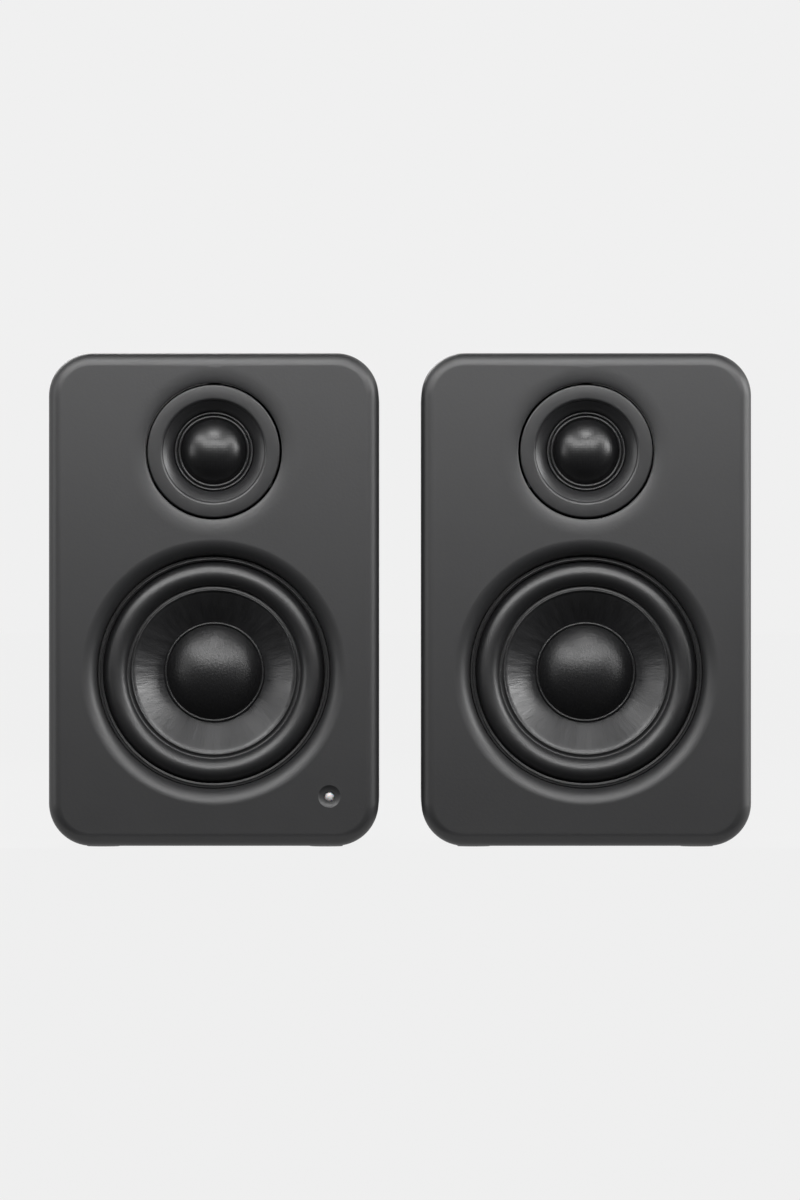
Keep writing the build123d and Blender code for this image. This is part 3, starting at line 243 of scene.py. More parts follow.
def close_up(piece, angle=35.0):
    """Merges doubles, turns faces outwards, puts the origin at zero and shades smooth up to an angle."""
    only(piece)
    edit_mode()
    bpy.ops.mesh.select_all(action="SELECT")
    bpy.ops.mesh.remove_doubles(threshold=0.01 * MM)
    bpy.ops.mesh.normals_make_consistent(inside=False)
    object_mode()
    bpy.ops.object.transform_apply(location=True, rotation=True, scale=True)
    bpy.ops.object.shade_smooth_by_angle(angle=math.radians(angle))


def dress(piece, name, body, finish, nodes=()):
    """Names a piece, gives it its finish and its body, and hides the nodes that it stands for.

    A piece without a body is one that is blended between two.
    """
    piece.name = name
    piece.data.name = name
    piece.data.materials.clear()
    piece.data.materials.append(finish)
    if body:
        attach(piece, body)
    if nodes:
        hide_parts(*nodes)
    return piece


def arc(centre, start, end, steps):
    """Points of the short arc from start to end about centre, without start."""
    a = math.atan2(start[1] - centre[1], start[0] - centre[0])
    b = math.atan2(end[1] - centre[1], end[0] - centre[0])
    turn = (b - a + math.pi) % (2 * math.pi) - math.pi
    r = math.dist(centre, start)
    return [
        (centre[0] + r * math.cos(a + turn * k / steps), centre[1] + r * math.sin(a + turn * k / steps))
        for k in range(1, steps + 1)
    ]


def bow(start, rise, end, steps):
    """Points of the arc from start to end whose middle stands rise in front of their chord, without start."""
    half = math.dist(start, end) / 2
    across, back = (end[0] - start[0]) / (2 * half), (end[1] - start[1]) / (2 * half)
    sign = math.copysign(1.0, -across * rise)
    ahead = (-back * sign, across * sign)
    high = abs(rise)
    r = (half * half + high * high) / (2 * high)
    cx = (start[0] + end[0]) / 2 - ahead[0] * (r - high)
    cy = (start[1] + end[1]) / 2 - ahead[1] * (r - high)
    lean = math.atan2(half, r - high)
    points = []
    for k in range(1, steps + 1):
        turn = lean * (2 * k / steps - 1)
        out, on = r * math.cos(turn), r * math.sin(turn)
        points.append((cx + ahead[0] * out + across * on, cy + ahead[1] * out + back * on))
    return points


def lathe(place, outline, around=144, start_closed=False):
    """A ring walked along an outline of (radius, depth) in millimetres, which a radius of nought ends."""
    fresh()
    x, z = place
    radius, depth = outline[0]
    bpy.ops.mesh.primitive_circle_add(
        vertices=around,
        radius=radius * MM,
        fill_type="NGON" if start_closed else "NOTHING",
        location=(x, FRONT + depth * MM, z),
        rotation=(math.pi / 2, 0, 0),
    )
    piece = bpy.context.object
    edit_mode()
    bpy.ops.mesh.select_mode(type="EDGE")
    bpy.ops.mesh.select_all(action="SELECT")
    for (r0, d0), (r1, d1) in zip(outline, outline[1:]):
        bpy.ops.mesh.extrude_edges_move()
        scale = r1 / r0
        bpy.ops.transform.resize(value=(scale, scale, scale), center_override=(x, FRONT + d0 * MM, z))
        bpy.ops.transform.translate(value=(0, (d1 - d0) * MM, 0))
        if r1 == 0:
            bpy.ops.mesh.merge(type="CENTER")
    object_mode()
    return piece


def runs_back(edge):
    """Whether an edge lies along the depth."""
    span = edge.verts[0].co - edge.verts[1].co
    return abs(span.y) > abs(span.x) + abs(span.z)


def rounded_box(low, high, corner, segments=14):
    """A box whose four edges along the depth are round."""
    fresh()
    centre = [(a + b) / 2 for a, b in zip(low, high)]
    bpy.ops.mesh.primitive_cube_add(size=1.0, location=centre)
    piece = bpy.context.object
    edit_mode()
    bpy.ops.mesh.select_all(action="SELECT")
    spans = [b - a for a, b in zip(low, high)]
    bpy.ops.transform.resize(value=spans, center_override=centre)
    pick(piece, "edges", runs_back)
    bpy.ops.mesh.bevel(offset=corner, segments=segments, profile=0.5, affect="EDGES")
    object_mode()
    bpy.ops.object.transform_apply(location=True, rotation=True, scale=True)
    return piece


def round_end(piece, y, radius, segments):
    """Rounds the edges of a box's end that lies at y."""
    touch = 0.001 * MM
    edit_mode()
    pick(piece, "edges", lambda e: all(abs(v.co.y - y) < touch for v in e.verts))
    bpy.ops.mesh.bevel(offset=radius, segments=segments, profile=0.5, affect="EDGES")
    object_mode()


def sink(distance):
    """In edit mode, extrudes the chosen face along the depth."""
    bpy.ops.mesh.extrude_region_move(TRANSFORM_OT_translate={"value": (0, distance, 0)})


def cut(piece, tool):
    """Takes the tool's solid out of the piece."""
    apply(piece, "BOOLEAN", operation="DIFFERENCE", solver="EXACT", object=tool)
    fresh()
    bpy.data.objects.remove(tool)


def shell(piece, millimetres, angle):
    """Gives an open skin its thickness, behind the side that faces forwards."""
    close_up(piece, angle)
    forwards = sum(face.normal.y * face.area for face in piece.data.polygons) < 0
    apply(piece, "SOLIDIFY", thickness=millimetres * MM, offset=-1.0 if forwards else 1.0)
    close_up(piece, angle)


def join(pieces):
    """Joins pieces into the first of them."""
    only(pieces[0])
    for piece in pieces[1:]:
        piece.select_set(True)
    bpy.ops.object.join()


def model_copy(node, angle=30.0):
    """A merged copy of a construction solid, smooth up to an angle, to be finished as a piece."""
    fresh()
    piece = bpy.data.objects.new(node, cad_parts[node].data.copy())
    bpy.context.scene.collection.objects.link(piece)
    only(piece)
    edit_mode()
    bpy.ops.mesh.select_all(action="SELECT")
    bpy.ops.mesh.remove_doubles(threshold=0.002 * MM)
    object_mode()
    bpy.ops.object.shade_smooth_by_angle(angle=math.radians(angle))
    apply(piece, "WEIGHTED_NORMAL", mode="FACE_AREA", weight=100, keep_sharp=True)
    return piece


# ---- materials ----


def add(tree, kind, settings=None, inputs=None):
    """Adds a node. An input's value is a number, a colour or another node's output."""
    node = tree.nodes.new(kind)
    for key, value in (settings or {}).items():
        setattr(node, key, value)
    for key, value in (inputs or {}).items():
        if isinstance(value, bpy.types.NodeSocket):
            tree.links.new(value, node.inputs[key])
        else:
            node.inputs[key].default_value = value
    return node


def maths(tree, operation, first, second):
    """A sum, product or other function of two values."""
    return add(tree, "ShaderNodeMath", {"operation": operation}, {0: first, 1: second}).outputs[0]


def begin(name, roughness, metallic=0.0, **sockets):
    """A new material's tree, its shader and the object's own coordinates."""
    material = bpy.data.materials.new(name)
    material.use_nodes = True
    tree = material.node_tree
    shader = tree.nodes["Principled BSDF"]
    shader.inputs["Roughness"].default_value = roughness
    shader.inputs["Metallic"].default_value = metallic
    for key, value in sockets.items():
        shader.inputs[key.replace("_", " ")].default_value = value
    place = add(tree, "ShaderNodeTexCoord").outputs["Object"]
    return material, tree, shader, place


def tones(tree, shader, base, factor, spread):
    """A base colour that wanders by a share of itself as a factor goes from 0 to 1."""
    dark = [c * (1 - spread) for c in base[:3]] + [1.0]
    pale = [min(1.0, c * (1 + spread)) for c in base[:3]] + [1.0]
    mix = add(tree, "ShaderNodeMix", {"data_type": "RGBA"}, {0: factor, 6: dark, 7: pale})
    tree.links.new(mix.outputs[2], shader.inputs["Base Color"])


def grain(tree, place, millimetres, detail=2.0, roughness=0.5):
    """Noise whose features are about that many millimetres across."""
    return add(
        tree, "ShaderNodeTexNoise", None,
        {"Vector": place, "Scale": 1 / (millimetres * MM), "Detail": detail, "Roughness": roughness},
    ).outputs["Fac"]


def emboss(tree, shader, height, millimetres, strength=1.0):
    """Bump of that real height."""
    sockets = {"Height": height, "Distance": millimetres * MM, "Strength": strength}
    bump = add(tree, "ShaderNodeBump", None, sockets)
    tree.links.new(bump.outputs["Normal"], shader.inputs["Normal"])


def vary_roughness(tree, shader, factor, low, high):
    """Roughness that goes from low to high with a factor."""
    spread = add(tree, "ShaderNodeMapRange", None, {"Value": factor, "To Min": low, "To Max": high})
    tree.links.new(spread.outputs["Result"], shader.inputs["Roughness"])


def satin_lacquer(colours):
    """Sprayed satin lacquer on fibreboard: even, with a faint orange peel that softens its sheen."""
    material, tree, shader, place = begin("satin_lacquer", 0.46, IOR=1.5)
    tones(tree, shader, colours.lacquer, grain(tree, place, 45.0, 3.0), 0.05)
    vary_roughness(tree, shader, grain(tree, place, 9.0, 4.0), 0.45, 0.49)
    emboss(tree, shader, grain(tree, place, 0.9, 2.0), 0.02)
    return material


def moulded(name, base, roughness, grit=0.35, height=0.02):
    """Injection-moulded plastic with the fine spark grain of its tool."""
    material, tree, shader, place = begin(name, roughness, IOR=1.5)
    tones(tree, shader, base, grain(tree, place, 12.0, 3.0), 0.06)
    vary_roughness(tree, shader, grain(tree, place, 3.0, 3.0), roughness - 0.04, roughness + 0.05)
    emboss(tree, shader, grain(tree, place, grit, 3.0), height)
    return material


def butyl_rubber(colours):
    """Moulded butyl rubber: dark, with a soft broad sheen."""
    material, tree, shader, place = begin("butyl_rubber", 0.38, IOR=1.5)
    tones(tree, shader, colours.rubber, grain(tree, place, 6.0, 3.0), 0.1)
    vary_roughness(tree, shader, grain(tree, place, 2.0, 4.0), 0.36, 0.47)
    emboss(tree, shader, grain(tree, place, 0.3, 2.0), 0.008)
    return material


def polar(tree, place, centre):
    """The angle, 0 to 1, and the radius in metres about a driver's axis."""
    x, z = centre
    moved = add(tree, "ShaderNodeMapping", None, {"Vector": place, "Location": (-x, 0, -z)})
    split = add(tree, "ShaderNodeSeparateXYZ", None, {"Vector": moved.outputs[0]})
    turn = maths(tree, "DIVIDE", maths(tree, "ARCTAN2", split.outputs["X"], split.outputs["Z"]), 2 * math.pi)
    flat = add(tree, "ShaderNodeCombineXYZ", None, {"X": split.outputs["X"], "Y": split.outputs["Z"]})
    radius = add(tree, "ShaderNodeVectorMath", {"operation": "LENGTH"}, {0: flat.outputs[0]})
    return turn, radius.outputs["Value"]


def pressed_cone(colours, side):
    """Pressed fibre cone: radial fibres in resin, which streak its sheen from the centre outwards.

    The fibres are too fine to show, so they are drawn in bundles about 2 mm wide and 9 mm long.
    """
    material, tree, shader, place = begin(f"pressed_cone_{side}", 0.38, IOR=1.5)
    bundles_round, bundles_along = 56.0, 0.11 / MM  # in a full turn, and in a metre from the centre
    angle, radius = polar(tree, place, middle(f"{side}_woofer_cone"))
    wound = maths(tree, "MULTIPLY", angle, bundles_round)
    run = maths(tree, "MULTIPLY", radius, bundles_along)
    laid = add(tree, "ShaderNodeCombineXYZ", None, {"X": wound, "Y": run}).outputs[0]
    streak = grain(tree, laid, 1.0 / MM, 4.0, 0.65)
    tones(tree, shader, colours.cone, streak, 0.6)
    vary_roughness(tree, shader, streak, 0.2, 0.56)
    emboss(tree, shader, streak, 0.16)
    return material


def pressed_cap(colours):
    """Pressed fibre dust cap: near black, speckled with pale fibre ends.

    The specks are a few tenths of a millimetre across, and are drawn at 0.8 mm so that they show.
    """
    material, tree, shader, place = begin("pressed_cap", 0.36, IOR=1.45)
    speck = grain(tree, place, 0.8, 4.0, 0.75)
    tones(tree, shader, colours.cap, speck, 0.7)
    emboss(tree, shader, speck, 0.09)
    return material


def coated_silk(colours):
    """Fine silk under a soft damping coat: a close weave that breaks up the highlight.

    The threads lie about 0.15 mm apart, and are drawn 0.4 mm apart so that they show.
    """
    material, tree, shader, place = begin("coated_silk", 0.34, IOR=1.45)
    threads = {"Vector": place, "Scale": 1 / (0.4 * MM * 2 * math.pi)}
    warp = add(tree, "ShaderNodeTexWave", {"bands_direction": "X"}, threads).outputs["Fac"]
    weft = add(tree, "ShaderNodeTexWave", {"bands_direction": "Z"}, threads).outputs["Fac"]
    weave = maths(tree, "MULTIPLY", warp, weft)
    tones(tree, shader, colours.silk, grain(tree, place, 1.5, 3.0), 0.15)
    emboss(tree, shader, weave, 0.012)
    return material


def milky_acrylic(colours):
    """Cast milky acrylic: pale, with a soft glossy skin."""
    material, tree, shader, place = begin("milky_acrylic", 0.4, IOR=1.49, Subsurface_Weight=0.2)
    shader.inputs["Subsurface Scale"].default_value = MM
    tones(tree, shader, colours.light, grain(tree, place, 1.0, 2.0), 0.03)
    return material


def powder_coat(colours):
    """Black powder coat: matt, with the pebbled skin that the powder leaves."""
    material, tree, shader, place = begin("powder_coat", 0.55, IOR=1.5)
    tones(tree, shader, colours.panel, grain(tree, place, 20.0, 3.0), 0.08)
    vary_roughness(tree, shader, grain(tree, place, 5.0, 3.0), 0.5, 0.62)
    emboss(tree, shader, grain(tree, place, 0.55, 2.0), 0.05)
    return material


def metal(name, code, roughness, scratch):
    """Bare or plated metal with fine marks of that width."""
    material, tree, shader, place = begin(name, roughness, 1.0)
    tones(tree, shader, linear(code), grain(tree, place, scratch * 6, 3.0), 0.08)
    vary_roughness(tree, shader, grain(tree, place, scratch, 4.0), roughness - 0.06, roughness + 0.1)
    return material


def plain(name, code, roughness, millimetres, spread=0.12, height=0.03):
    """A hidden piece's finish, with mottling and relief of that size."""
    material, tree, shader, place = begin(name, roughness, IOR=1.5)
    mottle = grain(tree, place, millimetres, 3.0)
    tones(tree, shader, linear(code), mottle, spread)
    emboss(tree, shader, mottle, height)
    return material


# ---- pieces ----


class SPEAKERS_OT_cabinets(bpy.types.Operator):
    """Model the two sleeves, open at the front and rebated for the rear panel"""

    bl_idname = "speakers.cabinets"
    bl_label = "Cabinets"
    bl_options = UNDOABLE

    def execute(self, context):
        sizes, colours = settings(context)
        finish = satin_lacquer(colours)
        for side in SIDES:
            node = f"{side}_cabinet"
            low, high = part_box(node)
            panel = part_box(f"{side}_rear_panel")[1]
            margin = high.z - panel.z - sizes.rear_round - sizes.panel_gap
            piece = rounded_box(low, high, sizes.corner)
            round_end(piece, high.y, sizes.rear_round, 6)
            round_end(piece, low.y, sizes.seam, 2)
            edit_mode()
            # The last strip of the rounded edge looks almost straight back too, so the test is a close one.
            pick(piece, "faces", lambda f: f.normal.y > 0.999)
            bpy.ops.mesh.inset(thickness=margin)
            ledge = panel.y - sizes.panel
            sink(ledge - high.y)
            bpy.ops.mesh.inset(thickness=sizes.wall - sizes.rear_round - margin)
            sink(low.y - ledge)
            bpy.ops.mesh.delete(type="FACE")
            front = low.y + sizes.seam / 2
            pick(piece, "faces", lambda f: f.normal.y < -0.99 and f.calc_center_median().y < front)
            bpy.ops.mesh.inset(thickness=sizes.wall - sizes.seam)
            bpy.ops.mesh.delete(type="FACE")
            object_mode()
            close_up(piece, 35.0)
            apply(piece, "WEIGHTED_NORMAL", keep_sharp=True, weight=100)
            dress(piece, f"{side}_sleeve", ROOT, finish, [node])
        return {"FINISHED"}


class SPEAKERS_OT_baffles(bpy.types.Operator):
    """Model the two front baffles with their rounded openings"""

    bl_idname = "speakers.baffles"
    bl_label = "Front baffles"
    bl_options = UNDOABLE

    def execute(self, context):
        sizes = context.scene.speaker_sizes
        finish = bpy.data.materials["satin_lacquer"]
        for side in SIDES:
            node = f"{side}_front_baffle"
            low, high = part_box(node)
            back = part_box(f"{side}_cabinet")[0].y
            piece = rounded_box(low, (high.x, back, high.z), sizes.corner, segments=18)
            round_end(piece, low.y, sizes.front_round, 10)
            round_end(piece, back, sizes.seam, 2)
            thick = (back - low.y) / MM
            cut(piece, self.woofer_tool(side, sizes, thick))
            cut(piece, self.tweeter_tool(side, sizes, thick))
            if side == "left":
                cut(piece, self.light_tool(sizes, thick))
            close_up(piece, 28.0)
            apply(piece, "WEIGHTED_NORMAL", keep_sharp=True, weight=100)
            dress(piece, f"{side}_baffle", ROOT, finish, [node])
        return {"FINISHED"}

    def woofer_tool(self, side, sizes, thick):
        """The opening's solid: a broad rounded lip and a bore."""
        bore, lip = sizes.opening / MM, sizes.lip / MM
        outline = [
            (bore + lip, -OVERCUT),
            (bore + lip, 0.0),
            *arc((bore + lip, lip), (bore + lip, 0.0), (bore, lip), 16),
            (bore, thick + OVERCUT),
        ]
        return self.plug(f"{side}_woofer_cone", outline)

    def tweeter_tool(self, side, sizes, thick):
        """The shallow dish, the gap and the seat of the ring."""
        edge = (sizes.plate + sizes.plate_gap) / MM
        face = depth_of(f"{side}_tweeter_plate")
        wide = sizes.plate_dish / MM
        outline = [
            (edge + wide, -OVERCUT),
            (edge + wide, 0.0),
            *self.roll((edge + wide, 0.0), (edge, face), 12),
            (edge, thick + OVERCUT),
        ]
        return self.plug(f"{side}_tweeter_dome", outline)

    def roll(self, start, end, steps):
        """A curve that leaves start flat and steepens towards end."""
        width, drop = start[0] - end[0], end[1] - start[1]
        turns = [math.pi / 2 * k / steps for k in range(1, steps + 1)]
        return [(start[0] - width * math.sin(t), start[1] + drop * (1 - math.cos(t))) for t in turns]

    def light_tool(self, sizes, thick):
        """The shallow dish round the light and the hole behind it."""
        gap, entry = 0.05, 0.3
        wide, deep, hole = sizes.light_dish / MM, sizes.light_deep / MM, sizes.light / MM + gap
        curve = bow((wide, 0.0), -deep / 4, (hole, deep), 8)
        outline = [(wide + 2 * entry, -entry), (wide, 0.0), *curve, (hole, thick + OVERCUT)]
        return self.plug("light_pipe", outline)

    def plug(self, node, outline):
        """A closed cutting solid turned about a node's middle."""
        tool = lathe(middle(node), outline, AROUND, start_closed=True)
        edit_mode()
        bpy.ops.mesh.edge_face_add()
        object_mode()
        close_up(tool)
        return tool


class SPEAKERS_OT_gaskets(bpy.types.Operator):
    """Turn the clamping rings round the surrounds"""

    bl_idname = "speakers.gaskets"
    bl_label = "Woofer gaskets"
    bl_options = UNDOABLE

    def execute(self, context):
        sizes = context.scene.speaker_sizes
        # Moulded black plastic from a tool with hardly any grain: a thin, clean glint along its edge.
        finish = moulded("gasket_plastic", linear("#101011"), 0.4, grit=0.3, height=0.004)
        tall, inner_round, outer_round, bead = 1.0, 0.2, 0.15, 0.3
        inner, outer = sizes.gasket / MM, sizes.opening / MM - MOUNTING_GAP
        rings = []
        for side in SIDES:
            base = depth_of(f"{side}_woofer_surround", 1) - RUBBER
            flat = base - tall
            start, end = (inner + bead, flat), (inner + 3 * bead, flat)
            outline = [
                (inner, base),
                (inner, flat + inner_round),
                (inner + inner_round / 2, flat + inner_round / 4),
                start,
                *bow(start, bead, end, 8),
                (outer - outer_round, flat),
                (outer, flat + outer_round),
                (outer, base),
                (inner, base),
            ]
            piece = lathe(middle(f"{side}_woofer_cone"), outline, AROUND)
            close_up(piece)
            rings.append(piece)
        join(rings)
        dress(rings[0], "gasket_rings", ROOT, finish, ["woofer_gaskets"])
        return {"FINISHED"}


def follow_radius(piece, side, inner, outer, moving):
    """Lets a ring's inner edge travel with the moving body while its outer edge stays on the frame."""
    x, z = middle(f"{side}_woofer_cone" if "cone" in moving else f"{side}_tweeter_dome")
    low, high = Vector((x, FRONT, z)), Vector((x, FRONT + MM, z))
    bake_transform(piece, ROOT, moving, start=low, end=high)
    weights = piece.data.attributes["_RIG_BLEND"].data
    for vertex in piece.data.vertices:
        radius = math.hypot(vertex.co.x - x, vertex.co.z - z)
        share = min(1.0, max(0.0, (outer - radius) / (outer - inner)))
        weights[vertex.index].value = share * share * (3 - 2 * share)


class SPEAKERS_OT_surrounds(bpy.types.Operator):
    """Turn the woofers' half-roll surrounds"""

    bl_idname = "speakers.surrounds"
    bl_label = "Woofer surrounds"
    bl_options = UNDOABLE

    def execute(self, context):
        sizes, colours = settings(context)
        finish = butyl_rubber(colours)
        fillet, thick = 0.25, 0.45
        inner, outer = sizes.roll_inner / MM, sizes.roll_outer / MM
        bead_inner = sizes.cone_rim / MM + 0.2
        bead_outer = bead_inner + 0.7
        for side in SIDES:
            node = f"{side}_woofer_surround"
            face = depth_of(node, 1) - RUBBER
            foot = face - fillet
            outline = [
                (sizes.opening / MM - MOUNTING_GAP, face),
                (outer + fillet, face),
                *arc((outer + fillet, foot), (outer + fillet, face), (outer, foot), 3),
                *bow((outer, foot), sizes.roll_height / MM - fillet, (inner, foot), 28),
                *arc((inner - fillet, foot), (inner, foot), (inner - fillet, face), 3),
                (bead_outer, face),
                *bow((bead_outer, face), fillet, (bead_inner, face), 6),
            ]
            piece = lathe(middle(f"{side}_woofer_cone"), outline, AROUND)
            shell(piece, thick, 60.0)
            dress(piece, f"{side}_surround_roll", None, finish, [node])
            follow_radius(piece, side, inner * MM, outer * MM, f"{side}_cone")
        return {"FINISHED"}


class SPEAKERS_OT_cones(bpy.types.Operator):
    """Turn the woofers' cones"""

    bl_idname = "speakers.cones"
    bl_label = "Woofer cones"
    bl_options = UNDOABLE

    def execute(self, context):
        sizes, colours = settings(context)
        rim, neck, drop = sizes.cone_rim / MM, sizes.cone_neck / MM, sizes.cone_drop / MM
        land, edge, thick, steps = 1.8, 0.15, 0.7, 20
        for side in SIDES:
            node = f"{side}_woofer_cone"
            face = depth_of(node)
            outline = [(rim + land, face), (rim + edge, face)]
            for k in range(1, steps + 1):
                outline.append((rim + (neck - rim) * k / steps, face + drop * k / steps))
            piece = lathe(middle(node), outline, AROUND)
            shell(piece, thick, 50.0)
            finish = pressed_cone(colours, side)
            dress(piece, f"{side}_cone_shell", f"{side}_cone", finish, [node])
        return {"FINISHED"}


class SPEAKERS_OT_dust_caps(bpy.types.Operator):
    """Turn the dust caps with their rolled rims"""

    bl_idname = "speakers.dust_caps"
    bl_label = "Dust caps"
    bl_options = UNDOABLE

    def execute(self, context):
        sizes, colours = settings(context)
        finish = pressed_cap(colours)
        cap, tall = sizes.cap / MM, sizes.cap_height / MM
        rim, droop, bead, thick = 1.0, 0.2, 0.45, 0.45
        for side in SIDES:
            node = f"{side}_woofer_dust_cap"
            foot = depth_of(node) + tall
            start = (cap + rim, foot + droop)
            outline = [start, *bow(start, bead, (cap, foot), 8), *dome_outline(cap, foot, tall, 24)]
            piece = lathe(middle(node), outline, around=160)
            shell(piece, thick, 50.0)
            dress(piece, f"{side}_cap_shell", f"{side}_cone", finish, [node])
        return {"FINISHED"}


def dome_outline(radius, foot, height, steps):
    """Points of a spherical cap from its foot to its crown, without the first."""
    sphere = (radius**2 + height**2) / (2 * height)
    centre = foot - height + sphere
    span = math.asin(radius / sphere)
    points = [
        (sphere * math.sin(span * (1 - k / steps)), centre - sphere * math.cos(span * (1 - k / steps)))
        for k in range(1, steps)
    ]
    return points + [(0.0, foot - height)]


class SPEAKERS_OT_tweeter_rings(bpy.types.Operator):
    """Turn the rings round the tweeters"""

    bl_idname = "speakers.tweeter_rings"
    bl_label = "Tweeter rings"
    bl_options = UNDOABLE

    def execute(self, context):
        sizes, colours = settings(context)
        finish = moulded("ring_plastic", colours.ring, 0.4, grit=0.3, height=0.01)
        plate, bowl, eye, collar = (v / MM for v in (sizes.plate, sizes.bowl, sizes.eye, sizes.collar))
        flange, lip, edge, curb, bead, web, bore, bowl_end = 3.2, 0.9, 0.45, 0.5, 0.3, 0.8, 1.7, 0.7
        for side in SIDES:
            node = f"{side}_tweeter_plate"
            face, back = depth_of(node), depth_of(node, 1)
            floor = face + sizes.bowl_depth / MM
            seat, low = face + flange, floor + curb
            crest = (eye + 2 * bead, floor)
            outline = [
                (plate, seat),
                (plate, face + edge),
                *arc((plate - edge, face + edge), (plate, face + edge), (plate - edge, face), 5),
                (bowl + lip, face),
                *arc((bowl + lip, face + lip), (bowl + lip, face), (bowl, face + lip), 8),
                *bow((bowl, face + lip), bead, (eye + bowl_end, low), 14),
                crest,
                *bow(crest, bead, (eye, floor), 8),
                (eye, floor + web),
                (eye + bore, floor + web),
                (eye + bore, back),
                (collar, back),
                (collar, seat),
                (plate, seat),
            ]
            piece = lathe(middle(f"{side}_tweeter_dome"), outline, AROUND)
            close_up(piece, 40.0)
            dress(piece, f"{side}_tweeter_ring", ROOT, finish, [node])
        return {"FINISHED"}


class SPEAKERS_OT_domes(bpy.types.Operator):
    """Turn the tweeters' domes and their narrow rolls"""

    bl_idname = "speakers.domes"
    bl_label = "Tweeter domes"
    bl_options = UNDOABLE

    def execute(self, context):
        sizes, colours = settings(context)
        finish = coated_silk(colours)
        radius, tall, dome_thick = sizes.dome / MM, sizes.dome_height / MM, 0.2
        inner, outer, roll_tall, roll_thick = radius - 0.05, sizes.eye / MM - MOUNTING_GAP, 0.6, 0.18
        land = outer + 1.6
        for side in SIDES:
            place = middle(f"{side}_tweeter_dome")
            foot = depth_of(f"{side}_tweeter_dome", 1)
            piece = lathe(place, [(radius, foot), *dome_outline(radius, foot, tall, 20)], around=128)
            shell(piece, dome_thick, 60.0)
            dress(piece, f"{side}_dome_shell", f"{side}_dome", finish, [f"{side}_tweeter_dome"])
            outline = [(land, foot), (outer, foot), *bow((outer, foot), roll_tall, (inner, foot), 12)]
            roll = lathe(place, outline, around=128)
            shell(roll, roll_thick, 60.0)
            dress(roll, f"{side}_dome_roll", None, finish, [f"{side}_tweeter_suspension"])
            follow_radius(roll, side, inner * MM, outer * MM, f"{side}_dome")
        return {"FINISHED"}


class SPEAKERS_OT_indicator(bpy.types.Operator):
    """Turn the indicator light"""

    bl_idname = "speakers.indicator"
    bl_label = "Indicator light"
    bl_options = UNDOABLE

    def execute(self, context):
        sizes, colours = settings(context)
        back, nose = depth_of("light_pipe", 1), depth_of("light_pipe")
        radius, crown = sizes.light / MM, sizes.light / MM / 2
        base, shoulder = radius + 0.7, back - 2.0
        outline = [
            (base / 5, back),
            (base, back),
            (base, shoulder),
            (radius, shoulder),
            (radius, nose + crown),
            *dome_outline(radius, nose + crown, crown, 10),
        ]
        piece = lathe(middle("light_pipe"), outline, around=64, start_closed=True)
        close_up(piece, 40.0)
        dress(piece, "indicator_lens", ROOT, milky_acrylic(colours), ["light_pipe"])
        return {"FINISHED"}


class SPEAKERS_OT_ports(bpy.types.Operator):
    """Turn the flared bass ports"""

    bl_idname = "speakers.ports"
    bl_label = "Bass ports"
    bl_options = UNDOABLE

    def execute(self, context):
        sizes, colours = settings(context)
        finish = moulded("black_moulding", colours.moulding, 0.4)
        wall, step, edge, sunk = 1.8, 4.0, 0.6, 9.0
        low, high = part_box("bass_ports")
        face, start = (high.y - FRONT) / MM, (low.y - FRONT) / MM + wall / 2
        panel = depth_of("left_rear_panel", 1)
        bore, flare, rim = sizes.port / MM, sizes.flare / MM, sizes.port_rim / MM
        tube, collar = bore + wall, rim - step
        tubes = []
        for side in SIDES:
            outline = [
                (bore, start),
                (bore, face - flare),
                *arc((bore + flare, face - flare), (bore, face - flare), (bore + flare, face), 14),
                (rim - edge, face),
                (rim, face - edge / 2),
                (rim, panel),
                (collar, panel),
                (collar, panel - sunk),
                (tube, panel - sunk),
                (tube, start),
                *bow((tube, start), wall / 2, (bore, start), 8),
            ]
            piece = lathe((middle(f"{side}_cabinet")[0], (low.z + high.z) / 2), outline, around=144)
            close_up(piece, 40.0)
            tubes.append(piece)
        join(tubes)
        dress(tubes[0], "port_tubes", ROOT, finish, ["bass_ports"])
        return {"FINISHED"}


